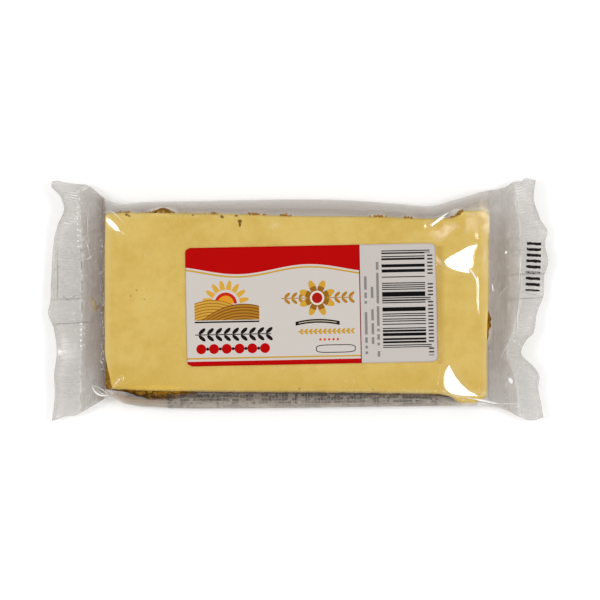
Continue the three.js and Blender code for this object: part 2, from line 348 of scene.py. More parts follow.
def film_height(x, y, share, sheet):
    """Height of the upper (1) or lower (-1) sheet."""
    nominal = nominal_x(x, share)
    spread = np.minimum(share, 1)
    near, far = near_side(nominal), far_side(nominal)
    fall = fall_at(y, nominal, spread)
    inner = 1 - fall
    ridge = (y - near) / (far - near) * CRIMPS
    middle = fin_middle(x, y, share, ridge)
    hang = (1 - spread) ** TENT_BOW
    flat = lerp(middle + sheet * SHEET_GAP / 2, ROOF if sheet > 0 else FLOOR, hang)
    rim = lerp(middle, RIM, hang)
    height = lerp(rim, flat, (1 - fall ** FLANK_POWERS[0]) ** FLANK_POWERS[1])
    height = height + tent_pleats(x, y, share) * inner
    height = height + 4 * fall * inner * lumps(x, y * 0.6, size=4.0, seed=5) * 0.35
    if sheet > 0:
        # A row of small puckers where every second ridge of the crimp begins.
        pucker = np.exp(-((share - 1.02) / 0.018) ** 2) * np.clip(np.cos(np.pi * (ridge - 0.5)), 0, 1) ** 2
        height = height + by_end(x, PUCKER) * pucker * inner
        loose = (1 - smooth(0, 0.25, share)) * (1 - on_label(x, y, 1.8)) * inner
        height = height + 0.10 * loose * (1 + lumps(x, y, size=6.0, seed=8))
        return height + folds(x, y) * inner
    distance = np.abs(y - seam_across(nominal))
    on_seam = 1 - smooth(SEAM_WIDTH / 2, SEAM_WIDTH / 2 + SEAM_WALL, distance)
    return height - on_seam * lerp(SEAM_DEPTH["bar"], SEAM_DEPTH["fin"], spread)


def sheets_at(x, y):
    """Heights of the film's lower and upper sheet at any place."""
    share = share_at(x, y)
    return film_height(x, y, share, -1), film_height(x, y, share, 1)


def roof_at(x, y):
    return film_height(x, y, share_at(x, y), 1)


def tuck_in(points, gap=0.12):
    """Points of a solid, moved up or down where they would cross the film."""
    low, high = sheets_at(points[:, 0], points[:, 1])
    points[:, 2] = np.clip(points[:, 2], low + gap, high - gap)
    return points


# ---- Meshes ---------------------------------------------------------------------------
def link(thing):
    """Put an object in the scene."""
    bpy.context.scene.collection.objects.link(thing)
    return thing


def make_piece(name, points, faces, finish, shade="smooth"):
    mesh = bpy.data.meshes.new(name)
    metres = np.asarray(points, float) * MM
    mesh.from_pydata(metres.tolist(), [], [list(map(int, face)) for face in faces])
    mesh.validate()
    mesh.update()
    if shade == "smooth":
        mesh.shade_smooth()
    mesh.materials.append(finish)
    return link(bpy.data.objects.new(name, mesh))


def hold(piece, name, values):
    """Keep a number at each point of a mesh, for its finish."""
    store = piece.data.attributes.new(name, "FLOAT", "POINT")
    store.data.foreach_set("value", np.asarray(values, np.float32).ravel())


def ring_faces(rows, ring):
    """Quads between closed rings of points, one ring a row."""
    r, c = np.meshgrid(np.arange(rows - 1), np.arange(ring), indexing="ij")
    d = (c + 1) % ring
    quads = np.stack([r * ring + c, (r + 1) * ring + c, (r + 1) * ring + d, r * ring + d], axis=-1)
    return quads.reshape(-1, 4)


def grid_faces(rows, columns, first=0, flip=False):
    """Quads between the points of a grid that starts at the first point."""
    r, c = np.meshgrid(np.arange(rows - 1), np.arange(columns - 1), indexing="ij")
    corner = first + r * columns + c
    quads = np.stack([corner, corner + columns, corner + columns + 1, corner + 1], axis=-1)
    return quads.reshape(-1, 4)[:, ::-1] if flip else quads.reshape(-1, 4)


def slab_from_sheets(top, bottom):
    """A closed thin piece from two grids of points, rows along +X and columns along +Y."""
    rows, columns = top.shape[:2]
    points = np.concatenate([top.reshape(-1, 3), bottom.reshape(-1, 3)])
    count = rows * columns
    faces = [grid_faces(rows, columns), grid_faces(rows, columns, count, flip=True)]
    edge = np.concatenate([
        np.arange(columns),
        np.arange(1, rows) * columns + columns - 1,
        (rows - 1) * columns + np.arange(columns - 2, -1, -1),
        np.arange(rows - 2, 0, -1) * columns])
    after = np.roll(edge, -1)
    faces.append(np.stack([edge, after, after + count, edge + count], axis=-1))
    return points, np.concatenate(faces)


# ---- Finishes -------------------------------------------------------------------------
class Value:
    """One output of a shader node. Arithmetic on it adds Math nodes."""

    def __init__(self, nodes, socket):
        self.nodes = nodes
        self.socket = socket

    def also(self, output):
        """Another output of the same node."""
        return Value(self.nodes, self.socket.node.outputs[output])

    def math(self, operation, *values):
        return self.nodes.add("ShaderNodeMath", {"operation": operation}, dict(enumerate(values)))

    def __add__(self, other):
        return self.math("ADD", self, other)

    def __sub__(self, other):
        return self.math("SUBTRACT", self, other)

    def __mul__(self, other):
        return self.math("MULTIPLY", self, other)

    def __truediv__(self, other):
        return self.math("DIVIDE", self, other)

    def __rsub__(self, other):
        return self.math("SUBTRACT", other, self)

    __radd__ = __add__
    __rmul__ = __mul__

    def __abs__(self):
        return self.math("ABSOLUTE", self)

    def __pow__(self, power):
        return self.math("POWER", self, power)

    def floor(self):
        return self.math("FLOOR", self)

    def fraction(self):
        return self.math("FRACT", self)

    def sine(self):
        return self.math("SINE", self)

    def above(self, other):
        return self.math("GREATER_THAN", self, other)

    def below(self, other):
        return self.math("LESS_THAN", self, other)

    def between(self, low, high):
        return self.above(low) * self.below(high)

    def larger(self, other):
        return self.math("MAXIMUM", self, other)

    def ramp(self, low, high, to_low=0.0, to_high=1.0):
        """Runs evenly from one value to another as this runs from low to high."""
        return self.nodes.add("ShaderNodeMapRange", {"clamp": True}, {
            "Value": self, "From Min": low, "From Max": high, "To Min": to_low, "To Max": to_high})


class Nodes:
    """The nodes of a material or a world, added by one method."""

    def __init__(self, owner):
        self.owner = owner
        owner.use_nodes = True
        self.tree = owner.node_tree
        self.tree.nodes.clear()

    def add(self, kind, settings=None, inputs=None, output=0):
        node = self.tree.nodes.new(kind)
        for name, value in (settings or {}).items():
            setattr(node, name, value)
        for name, value in (inputs or {}).items():
            if isinstance(value, Value):
                self.tree.links.new(value.socket, node.inputs[name])
            else:
                node.inputs[name].default_value = value
        return Value(self, node.outputs[output]) if node.outputs else None

    def axes(self, vector):
        x = self.add("ShaderNodeSeparateXYZ", inputs={0: vector})
        return x, x.also(1), x.also(2)

    def done(self, surface, kind="ShaderNodeOutputMaterial"):
        self.add(kind, inputs={"Surface": surface})
        return self.owner


class Finish(Nodes):
    """A material being made."""

    def __init__(self, name):
        super().__init__(bpy.data.materials.new(name))

    def places(self):
        """Where a point is on the pack, in millimetres."""
        metres = self.add("ShaderNodeTexCoord", output="Object")
        return self.add("ShaderNodeVectorMath", {"operation": "SCALE"}, {0: metres, "Scale": 1 / MM})

    def stretch(self, vector, x, y, z):
        return self.add("ShaderNodeVectorMath", {"operation": "MULTIPLY"}, {0: vector, 1: (x, y, z)})

    def noise(self, vector, size, detail=2.0, roughness=0.5):
        return self.add("ShaderNodeTexNoise", inputs={
            "Vector": vector, "Scale": 1 / size, "Detail": detail, "Roughness": roughness})

    def attribute(self, name):
        """A number that the mesh holds at each of its points."""
        return self.add("ShaderNodeAttribute", {"attribute_name": name}, output="Fac")

    def dice(self, value):
        """A random number from 0 to 1 for each value."""
        return self.add("ShaderNodeTexWhiteNoise", {"noise_dimensions": "1D"}, {"W": value})

    def colour(self, factor, low, high):
        return self.add("ShaderNodeMix", {"data_type": "RGBA"}, {0: factor, 6: low, 7: high}, 2)

    def painted(self, base, *coats):
        """A colour under coats of others, each as thick as its number says."""
        for cover, colour in coats:
            base = self.colour(cover, base, colour)
        return base

    def bump(self, height, strength, distance):
        return self.add("ShaderNodeBump", inputs={
            "Height": height, "Strength": strength, "Distance": distance * MM})

    def principled(self, **inputs):
        named = {name.replace("_", " ").title(): value for name, value in inputs.items()}
        named = {name.replace("Ior", "IOR"): value for name, value in named.items()}
        return self.add("ShaderNodeBsdfPrincipled", inputs=named)

    def see_through(self, red, green, blue):
        return self.add("ShaderNodeBsdfTransparent", inputs={"Color": (red, green, blue, 1)})

    def mix(self, factor, first, second):
        return self.add("ShaderNodeMixShader", inputs={0: factor, 1: first, 2: second})


def rgb(red, green, blue):
    """A colour from its usual 0 to 255 numbers."""
    def linear(c):
        c = c / 255
        return c / 12.92 if c <= 0.04045 else ((c + 0.055) / 1.055) ** 2.4
    return (linear(red), linear(green), linear(blue), 1.0)


# Painted highlights and glints on the film's creases: both ends, how far the middle bows to the
# left of the way from one end to the other, half width, and strength.
PAINTED_HIGHLIGHT_CREASES = (
    # the left corners
    ((-61.6, 29.0), (-56.0, 24.2), 0.45, 0.20, 0.55), ((-66.6, -27.7), (-60.8, -31.0), 0.47, 0.16, 0.7),
    ((-66.6, -27.7), (-60.8, -31.0), -1.5, 0.34, 0.9), ((-65.2, -28.6), (-61.3, -31.0), -0.5, 0.14, 0.5),
    ((-60.9, -30.9), (-57.0, -25.6), 0.2, 0.16, 0.35), ((-69.8, 35.1), (-67.5, 36.8), 0.0, 0.14, 0.5),
    # the left tent
    ((-67.8, 29.0), (-67.6, 17.2), -0.3, 0.14, 0.40), ((-68.8, 13.0), (-66.4, 14.4), -0.4, 0.18, 0.55),
    ((-69.3, 20.5), (-67.2, 13.0), 0.4, 0.14, 0.30),
    # the near right corner
    ((49.2, -30.8), (66.0, -33.9), -0.1, 0.20, 0.6), ((56.4, -32.2), (64.4, -33.7), -0.05, 0.36, 1.0),
    ((64.5, -33.8), (72.2, -33.8), 0.1, 0.14, 0.3), ((70.2, -34.9), (71.8, -34.4), 0.0, 0.14, 0.5),
    # the right tent
    ((59.9, 17.4), (59.5, 9.4), 0.25, 0.20, 0.25), ((67.0, 15.5), (67.4, 14.8), 0.0, 0.5, 1.0),
    ((62.5, 4.8), (62.8, 2.2), 0.0, 0.30, 0.8), ((68.1, -25.4), (69.2, -27.2), 0.15, 0.65, 1.0),
    ((64.0, -2.4), (69.4, 5.6), 1.0, 0.14, 0.25), ((71.9, 1.5), (71.0, -12.4), -0.4, 0.16, 0.30),
    ((69.4, -13.2), (70.4, -14.0), 0.0, 0.20, 0.6), ((70.8, -13.4), (73.2, -18.8), 0.3, 0.14, 0.25),
    ((68.2, -14.6), (65.4, -19.5), -0.4, 0.14, 0.22), ((72.4, 13.2), (71.6, 3.8), -0.3, 0.14, 0.25),
    # the folds over the right end of the bar
    ((42.8, 23.6), (48.7, 27.9), 0.1, 0.30, 1.0), ((54.6, 9.9), (57.95, 3.0), 0.8, 0.28, 0.9),
    ((57.95, 4.6), (58.4, -6.8), -0.25, 0.14, 0.5),
    # the label side of the roof
    ((17.8, -25.6), (18.1, -27.2), 0.0, 0.18, 0.35))
# Painted shade along dark fold lines of the film, given as the creases above are.
PAINTED_SHADE_CREASES = (
    ((-76.3, 1.3), (-74.4, -0.4), 0.1, 0.14, 0.30), ((-74.4, -0.4), (-71.4, 1.6), 0.1, 0.14, 0.30),
    ((-77.8, 15.8), (-77.9, -1.2), 0.1, 0.22, 0.30), ((74.0, 2.2), (77.6, 1.2), 0.1, 0.12, 0.35),
    ((71.6, 1.0), (70.8, -12.6), -0.4, 0.12, 0.25), ((69.9, 8.6), (75.0, 8.1), 0.0, 0.10, 0.25))
# Soft patches of painted sheen on the film: middle, half length, half width, turn in degrees and strength.
PAINTED_SHEENS = (
    (47.2, 21.8, 6.8, 3.2, 24.0, 0.42), (56.0, 24.0, 3.6, 6.0, -14.0, 0.30),
    (60.4, 25.0, 2.8, 7.0, 6.0, 0.46), (44.6, 12.8, 3.4, 1.1, -48.0, 0.40),
    (60.4, 12.0, 1.8, 11.0, 4.0, 0.16), (45.6, -16.0, 1.6, 9.0, 4.0, 0.12))
# Where the oats lie against the film, given as the sheens are.
TOUCHES = (
    (-46.0, -30.1, 15.0, 2.9, 0.0, 1.0), (-60.9, -26.6, 1.9, 6.0, 12.0, 1.0),
    (61.4, -8.5, 2.0, 7.0, 0.0, 1.0), (-44.0, 28.3, 7.0, 2.2, 0.0, 1.0),
    (-55.0, 28.0, 4.0, 1.0, 0.0, 1.0), (-13.0, 27.3, 4.0, 1.0, 0.0, 1.0),
    (-3.8, 27.1, 3.5, 1.0, 0.0, 1.0), (25.5, 26.9, 4.5, 1.2, 0.0, 1.0),
    (36.0, 26.6, 3.0, 1.0, 0.0, 1.0), (51.6, 28.0, 3.4, 2.2, 10.0, 1.0))


def crease(x, y, start, end, bow, half, strength):
    """A line that may bow, thin at both ends."""
    long = math.dist(start, end)
    c, s = (end[0] - start[0]) / long, (end[1] - start[1]) / long
    run = ((x - start[0]) * c + (y - start[1]) * s) / long
    side = (y - start[1]) * c - (x - start[0]) * s
    swell = (run * (1 - run) * 4).larger(0.0)
    reach = swell ** 0.5 * half - abs(side - swell * bow)
    return reach.ramp(0.0, 0.12, 0.0, strength)


def sheen(x, y, middle_x, middle_y, half_long, half_wide, turn, strength):
    """A soft oval patch."""
    c, s = math.cos(math.radians(turn)), math.sin(math.radians(turn))
    run = ((x - middle_x) * c + (y - middle_y) * s) / half_long
    side = ((y - middle_y) * c - (x - middle_x) * s) / half_wide
    return (run ** 2 + side ** 2).ramp(0.0, 1.0, 1.0, 0.0) ** 2 * strength


def largest(values):
    top = values[0]
    for value in values[1:]:
        top = top.larger(value)
    return top


def patches(x, y, spots):
    return largest([sheen(x, y, *spot) for spot in spots])


class FilmParts:
    """Where a point of the film is, and how far it belongs to each part, from 0 to 1."""

    def __init__(self, f):
        self.place = f.places()
        self.x, self.y, _ = f.axes(self.place)
        self.share, self.ridge = f.attribute("share"), f.attribute("ridge")
        self.fall = f.attribute("fall")
        self.cloud = f.noise(f.stretch(self.place, 0.35, 1.0, 1.0), 3.0, 3.0)
        near = self.y.below(0.0)
        beside = self.share.ramp(0.0, 0.3, 1.0, 0.0)
        self.left = self.x.below(0.0)
        self.fins = self.share.ramp(0.94, 1.04)
        self.tents = self.share.ramp(0.0, 0.05) * (1 - self.fins)
        self.margin = self.share.ramp(1.70, 1.90)
        self.aside = abs(self.y - 1.0).ramp(13.0, 26.0)
        self.near_flank = self.fall.ramp(0.02, 0.3) * beside * near
        self.far_flank = self.fall.ramp(0.02, 0.3) * beside * self.y.above(0.0)
        self.near_rim = self.fall.ramp(0.5, 1.0) * near * beside
        self.near_left = self.near_flank * self.x.ramp(-35.0, -46.0)
        # The left tent next to the bar, where painted shade goes.
        self.left_tent_shade = self.tents * self.left * self.share.ramp(0.0, 0.4, 1.0, 0.0)
        self.touching = patches(self.x, self.y, TOUCHES).ramp(0.0, 0.30)


def seam_lines(part):
    """The flattened back seam, which shows through as two thin lines."""
    seam = part.y - part.x * SEAM_SLOPE - SEAM_MIDDLE
    near_line = abs(seam + SEAM_WIDTH / 2).below(0.14) * (part.left * 0.22 + 0.14)
    far_line = abs(seam - SEAM_WIDTH / 2).below(0.12) * 0.10
    return near_line.larger(far_line) * part.share.above(0.45) * part.cloud.ramp(0.35, 0.5, 0.5, 1.0)


def crimp_marks(f, part):
    """Painted glints as pale dots and painted shade as dark dashes at every second ridge of the
    left crimp, with some left out.
    """
    pair = part.ridge * 0.5
    on_ridge = abs(pair.fraction() - 0.25).below(0.15)
    toss, again = f.dice(pair.floor() + 3.0), f.dice(pair.floor() + 90.0)
    dots = []
    for share, half, near, far, chance, gaps, strength in (
            (1.00, 0.030, -16.5, -6.5, toss, 0.0, 1.0),
            (1.08, 0.024, 16.5, 31.0, toss, 0.05, 1.0),
            (1.20, 0.018, 14.0, 29.0, again, 0.4, 1.0),
            (0.87, 0.020, -20.0, -7.0, again, 0.35, 0.5),
            (1.24, 0.016, -24.0, 6.0, again, 0.55, 0.4)):
        row = abs(part.share - share).below(half) * part.y.between(near, far)
        dots.append(row * chance.above(gaps) * strength)
    dashes = abs(part.share - 0.985).below(0.02) * part.y.between(-4.5, 18.6)
    return largest(dots) * on_ridge * part.left, dashes * part.left * toss.above(0.25)


def crimp_rows(f, part):
    """Painted shade along the rows of ridges on both crimps, patchy here and there."""
    # Patchy strength of the painted shade on the ridges.
    worn = f.noise(f.stretch(part.place, 0.12, 0.25, 0.2), 1.0, 2.0).ramp(0.42, 0.62)
    rows = abs(part.ridge.fraction() - 0.5).ramp(0.22, 0.45) * part.fins * (1 - part.margin)
    return rows * (part.left * 0.8 + 0.2) * (worn * 0.8 + 0.2)


def specks_and_glints(f, part):
    """Pale specks on the tents and fins, and painted glints at the left end of the bar."""
    specks = f.noise(part.place, 0.5, 1.0).ramp(0.72, 0.76) * (part.tents + part.fins * 0.6)
    # Painted glints beside the bar's left end.
    sparkle = f.noise(part.place, 0.6, 0.0).ramp(0.66, 0.70) * part.left * part.y.between(-24.0, 20.0)
    sparkle = sparkle * part.share.between(0.005, 0.16) * part.cloud.above(0.47)
    return (specks * part.cloud.above(0.5)).larger(sparkle)


def film_veil(f, part):
    """How milky the film is."""
    streaks = f.noise(f.stretch(part.place, 1.0, 0.16, 0.4), 1.3, 3.0, 0.6)
    veil = 0.02 + part.tents * part.share.ramp(0.0, 0.9, 0.04, 0.24) + part.tents * part.aside * 0.12
    veil = veil + part.tents * streaks.ramp(0.5, 0.75) * 0.14
    veil = veil + part.far_flank * 0.14 + part.near_rim * 0.26
    veil = veil + part.fins * part.cloud.ramp(0.35, 0.65, 0.20, 0.32) + part.margin * 0.03
    # A veil for the brown painted shade in the left tent beside the bar, and a warm veil at the near left.
    veil = veil + part.left_tent_shade ** 2 * 0.42 + part.near_left * part.fall.ramp(0.4, 1.0, 0.55, 0.30)
    return veil * (1 - part.touching)


def milky_tone(f, part, painted_sheens, dark, painted_highlights):
    """The film's colour where it is milky, with painted shade, painted highlights and painted sheen in it.
    """
    pale = part.fins.larger(part.aside * 0.7).larger(part.near_rim * 0.6)
    pale = pale.larger(part.share.ramp(0.5, 0.95) * 0.7)
    return f.painted(
        # Brown painted shade in the tents near the bar, pale elsewhere.
        f.colour(pale, rgb(164, 146, 128), rgb(210, 209, 207)),
        (part.near_left * part.fall.ramp(0.9, 0.5, 0.5, 1.0), rgb(196, 166, 132)),
        # Darker brown painted shade in the left tent beside the bar.
        (part.left_tent_shade, rgb(112, 86, 60)),
        (part.margin, rgb(196, 192, 187)),
        # Painted shade along the crimp's ridges.
        (crimp_rows(f, part) * 0.35, rgb(140, 132, 126)),
        # Painted sheen, painted shade along folds with the seam's lines, and painted highlights.
        (painted_sheens.above(0.001), rgb(255, 240, 204)),
        (dark.above(0.02), rgb(112, 100, 92)),
        (painted_highlights.above(0.02), rgb(254, 254, 252)))


def clear_sheet(f, part):
    """The film where it is clear: greyer in the tents and fins, with painted shade near the bar's
    ends, on the far flank by the slab and at its rim, and over the oats at the near left.
    """
    shade = part.tents * 0.9 * (1 - part.aside * 0.3) + part.far_flank + part.fins * 0.5
    shade = shade + part.margin * part.left * 0.3 + part.near_flank * 0.4
    painted_shade = part.share.ramp(0.0, 0.8, 1.0, 0.0) * part.share.above(0.005) * (part.left * 0.78 + 0.14)
    painted_shade = painted_shade.larger(part.far_flank * part.fall.ramp(0.9, 0.1) * 0.7)
    painted_shade = painted_shade.larger(part.far_flank * part.fall.ramp(0.8, 1.0) * 0.6)
    painted_shade = painted_shade.larger(part.near_left * 0.8)
    free = 1 - part.touching
    grey = f.mix(shade * free, f.see_through(0.965, 0.96, 0.95), f.see_through(0.88, 0.865, 0.845))
    return f.mix(painted_shade * free, grey, f.see_through(0.72, 0.69, 0.665))


def thin_gloss(f, normal, folded):
    """How much a thin clear sheet mirrors: more as it is seen at a flatter angle, and more in
    a fold, where it lies double."""
    facing = f.add("ShaderNodeLayerWeight", inputs={"Blend": 0.5, "Normal": normal}, output="Facing")
    return folded * 0.05 + 0.066 + facing ** 5 * 0.85


def clear_film():
    f = Finish("clear_film")
    part = FilmParts(f)
    dots, dashes = crimp_marks(f, part)
    # Painted highlights: on creases, crimp dots, specks and glints.
    painted_highlights = largest([crease(part.x, part.y, *line) for line in PAINTED_HIGHLIGHT_CREASES])
    painted_highlights = painted_highlights.larger(dots).larger(specks_and_glints(f, part) * 0.7)
    # Painted shade along folds and crimp dashes, with the seam's own lines.
    dark = largest([crease(part.x, part.y, *line) for line in PAINTED_SHADE_CREASES])
    dark = dark.larger(dashes * 0.35).larger(seam_lines(part))
    # Soft painted sheen over the bar, with wavering edges.
    wander = (f.noise(part.place, 4.0, 2.0) - 0.5) * 7.0
    over_bar = part.share.ramp(0.0, 0.02, 1.0, 0.0)
    painted_sheens = patches(part.x + wander, part.y - wander, PAINTED_SHEENS) * over_bar
    crinkle = f.noise(part.place, 0.9, 3.0, 0.6) * part.x.ramp(-60.0, 0.0, 1.0, 0.3)
    normal = f.bump(crinkle, 0.2, 0.1)
    # The milky part: its painted sheen also glows faintly.
    milky = f.principled(
        base_color=milky_tone(f, part, painted_sheens, dark, painted_highlights), roughness=0.45, normal=normal,
        emission_color=f.colour(painted_sheens.ramp(0.0, 0.4), rgb(0, 0, 0), rgb(255, 236, 186)),
        emission_strength=0.25)
    dull = (part.share - part.left * 0.25).ramp(0.50, 0.73)
    gloss = f.add("ShaderNodeBsdfGlossy", inputs={
        "Color": (1, 1, 1, 1), "Roughness": dull * (0.26 - part.left * 0.08) + 0.06, "Normal": normal})
    shine = thin_gloss(f, normal, f.attribute("fold")) * (1 - part.touching)
    cover = film_veil(f, part).larger(dark).larger(painted_highlights).larger(painted_sheens)
    return f.done(f.mix(cover, f.mix(shine, clear_sheet(f, part), gloss), milky))


# Pale frosty spots and brown specks on the white chocolate, given as the sheens are.
FROST = (
    (-48.9, 14.3, 1.2, 1.6, 0.0, 0.6), (-7.6, 23.4, 2.4, 1.7, 0.0, 0.9), (15.5, -26.6, 0.8, 1.2, 0.0, 0.5))
SPECKS = (
    (-18.7, 24.9, 1.0, 0.9, 0.0, 1.0), (-18.7, 23.9, 0.6, 1.2, 0.0, 1.0),
    (-24.5, 26.4, 1.1, 0.7, -30.0, 0.9), (-55.1, 27.0, 0.8, 0.7, 0.0, 1.0),
    (-54.3, 26.6, 0.5, 0.5, 0.0, 0.9), (-33.8, 26.9, 0.6, 0.4, 0.0, 0.8),
    (-19.9, 26.7, 0.9, 0.5, 0.0, 0.9), (-51.9, 2.7, 0.7, 0.5, 0.0, 0.4),
    (-53.8, 0.8, 0.5, 0.6, 0.0, 0.35), (-49.4, -0.2, 0.5, 0.6, 0.0, 0.35),
    (0.5, -29.0, 0.5, 0.4, 0.0, 0.6), (24.0, -29.2, 0.6, 0.4, 0.0, 0.6))


def white_chocolate():
    f = Finish("white_chocolate")
    place = f.places()
    x, y, _ = f.axes(place)
    broad = f.noise(place, 18.0, 3.0)
    cloud = f.noise(place, 4.0, 5.0, 0.6)
    grain = f.noise(place, 0.55, 3.0, 0.7)
    # Painted highlight along both ends of the slab.
    ends = (x.ramp(-62.4, -59.9, 1.0, 0.0) * 1.4).larger(x.ramp(58.6, 61.2)) * 0.6
    # Painted shadow of the front label, just right of it.
    label_shadow = x.ramp(44.3, 44.9) * x.ramp(45.9, 47.5, 1.0, 0.0) * y.between(-21.0, 17.0)
    edges = y.ramp(25.4, 27.4).larger(y.ramp(-28.7, -29.7) * 1.2)
    base = f.painted(
        f.colour(broad.ramp(0.35, 0.65), rgb(225, 191, 89), rgb(233, 202, 106)),
        (cloud.ramp(0.48, 0.72) * 0.4, rgb(238, 212, 126)),
        (cloud.ramp(0.50, 0.30) * 0.3, rgb(214, 172, 68)),
        (y.ramp(-20.0, -27.0) * 0.35, rgb(218, 176, 56)),
        (ends, rgb(236, 210, 136)),
        (label_shadow * 0.55, rgb(198, 156, 62)),
        (patches(x, y, FROST) * grain.ramp(0.42, 0.62), rgb(240, 222, 168)),
        (patches(x, y, SPECKS).ramp(0.15, 0.45), rgb(124, 76, 0)),
        (edges * grain.ramp(0.50, 0.58) * 0.6, rgb(240, 224, 170)),
        (grain.ramp(0.60, 0.68) * 0.4, rgb(240, 218, 140)),
        (grain.ramp(0.36, 0.28) * 0.3, rgb(188, 142, 44)))
    normal = f.bump(cloud * 0.8 + grain * 0.2, 0.3, 0.5)
    rough = cloud.ramp(0.3, 0.7, 0.42, 0.58)
    return f.done(f.principled(base_color=base, roughness=rough, specular_ior_level=0.3, normal=normal))


def oat_shades(f, place, grain):
    """Coats for all oats: paler far out and at the left end, and painted shade low on the near side."""
    x, y, z = f.axes(place)
    left_end = x.below(-60.2) * y.below(-19.0) * grain.ramp(0.60, 0.45)
    painted_shade_low_near = z.ramp(10.8, 8.6) * y.below(0.0) * x.between(-59.0, 59.0)
    return (
        (y.above(20.0) * 0.35, rgb(190, 150, 84)),
        (left_end * 0.5, rgb(212, 172, 92)),
        (painted_shade_low_near * 0.6, rgb(56, 28, 0)))


def baked_oats():
    f = Finish("baked_oats")
    place = f.places()
    cloud = f.noise(place, 2.4, 4.0, 0.6)
    grain = f.noise(place, 0.6, 4.0, 0.7)
    base = f.painted(
        f.colour(cloud.ramp(0.3, 0.7), rgb(112, 66, 2), rgb(194, 138, 26)),
        (grain.ramp(0.5, 0.7) * 0.7, rgb(52, 26, 0)), *oat_shades(f, place, grain))
    normal = f.bump(grain, 0.8, 0.4)
    rough = cloud.ramp(0.4, 0.6, 0.4, 0.7)
    return f.done(f.principled(base_color=base, roughness=rough, specular_ior_level=0.1, normal=normal))


def oat_flake():
    f = Finish("oat_flake")
    place = f.places()
    each = f.add("ShaderNodeNewGeometry", output="Random Per Island")
    grain = f.noise(place, 0.5, 3.0, 0.6)
    base = f.painted(
        f.colour(each, rgb(140, 94, 12), rgb(208, 156, 46)),
        (each.above(0.8) * 0.7, rgb(84, 48, 4)),
        (grain.ramp(0.45, 0.75) * 0.6, rgb(98, 64, 8)), *oat_shades(f, place, grain))
    normal = f.bump(grain, 0.6, 0.2)
    rough = each.ramp(0.0, 1.0, 0.4, 0.7)
    return f.done(f.principled(base_color=base, roughness=rough, specular_ior_level=0.1, normal=normal))


def cherry_flesh():
    f = Finish("cherry_flesh")
    grain = f.noise(f.places(), 0.8, 3.0)
    base = f.colour(grain, rgb(96, 18, 16), rgb(52, 12, 12))
    return f.done(f.principled(base_color=base, roughness=0.3, normal=f.bump(grain, 0.6, 0.4)))


# ---- Shapes of print, each a mask over two lengths u and v ----------------------------
def box(u, v, low_u, high_u, low_v, high_v):
    return u.between(low_u, high_u) * v.between(low_v, high_v)


def rounded(u, v, centre_u, centre_v, half_u, half_v):
    """A tile with round corners."""
    return (((u - centre_u) / half_u) ** 4 + ((v - centre_v) / half_v) ** 4).below(1.0)


def discs(u, v, left, right, middle, pitch, radius):
    """A row of round dots."""
    within = (((u - left) / pitch).fraction() - 0.5) * pitch
    return (within ** 2 + (v - middle) ** 2).below(radius ** 2) * u.between(left, right)


def leafy_stem(u, v, left, right, middle, pitch, leaf):
    """Pairs of slanting leaves along a level stem."""
    side = abs(v - middle)
    run = u - side * 0.75
    within = (((run - left) / pitch).fraction() - 0.5) * pitch
    leaves = ((within / (pitch * 0.30)) ** 2 + ((side - leaf) / (leaf * 0.86)) ** 2).below(1.0)
    return leaves * run.between(left, right) + side.below(0.16) * u.between(left, right)


def rosette(f, u, v, centre_u, centre_v, petals, inner, outer):
    """The petals of a flower, and the distance from its centre."""
    radius = ((u - centre_u) ** 2 + (v - centre_v) ** 2) ** 0.5
    angle = f.add("ShaderNodeMath", {"operation": "ARCTAN2"}, {0: v - centre_v, 1: u - centre_u})
    reach = abs((angle * (petals / 2)).sine()) * (outer - inner) + inner
    return (reach - radius).above(0.0), radius


def dashes(f, v, pitch, seed, gaps=0.24):
    """A broken line: most lengths of one pitch are drawn, and a share of them are gaps."""
    return f.dice((v / pitch).floor() + seed).above(gaps)


# ---- The front label's print: u runs along the label and v across, from its middle ----
PANEL = 15.7                                       # where the plain right panel begins
STRIPE = 0.33                                      # narrowest bar stripe
LABEL_WHITE, LABEL_BLACK = rgb(207, 200, 193), rgb(24, 20, 18)
LABEL_RED, LABEL_GOLD = rgb(182, 4, 4), rgb(198, 152, 44)


def fields(u, v):
    """The red field ends in a slow wave with a gold line along it."""
    edge = ((u + 12.0) * 0.14).sine() * 1.4 + 11.7
    front = u.below(PANEL)
    return (
        (u.above(PANEL), rgb(199, 192, 187)),
        (v.above(edge) * front, LABEL_RED),
        (abs(v - edge + 0.85).below(0.26) * front, LABEL_GOLD),
        (v.below(-17.55) * front, LABEL_RED),
        (abs(v + 16.6).below(0.24) * front, LABEL_GOLD),
        (abs(u - PANEL).below(0.16), rgb(122, 10, 12)))


def sun_over_hills(f, u, v):
    """A low sun with rays over two furrowed hills."""
    sun_v = 0.9
    rays, radius = rosette(f, u, v, -27.5, sun_v, petals=16, inner=4.1, outer=7.6)
    risen = v.above(sun_v)
    coats = [
        (rays * radius.above(4.5) * risen, rgb(214, 164, 60)),
        (radius.below(3.6) * risen, rgb(196, 40, 20)),
        (radius.below(2.6) * risen, rgb(222, 150, 40))]
    land = v.above(-4.4) * u.between(-37.6, -16.8)
    for hill_u, top, wide, light, dark in (
            (-32.0, 2.2, 11.0, rgb(206, 158, 62), rgb(160, 108, 34)),
            (-22.0, 0.8, 12.0, rgb(176, 120, 38), rgb(116, 72, 20))):
        depth = top - ((u - hill_u) / wide) ** 2 * 4.2 - v
        hill = depth.above(0.0) * land
        furrow = (depth / 0.95).fraction().below(0.32)
        coats += [(hill, light), (hill * furrow, dark)]
    return *coats, (box(u, v, -37.6, -16.8, -5.2, -4.7), LABEL_BLACK)


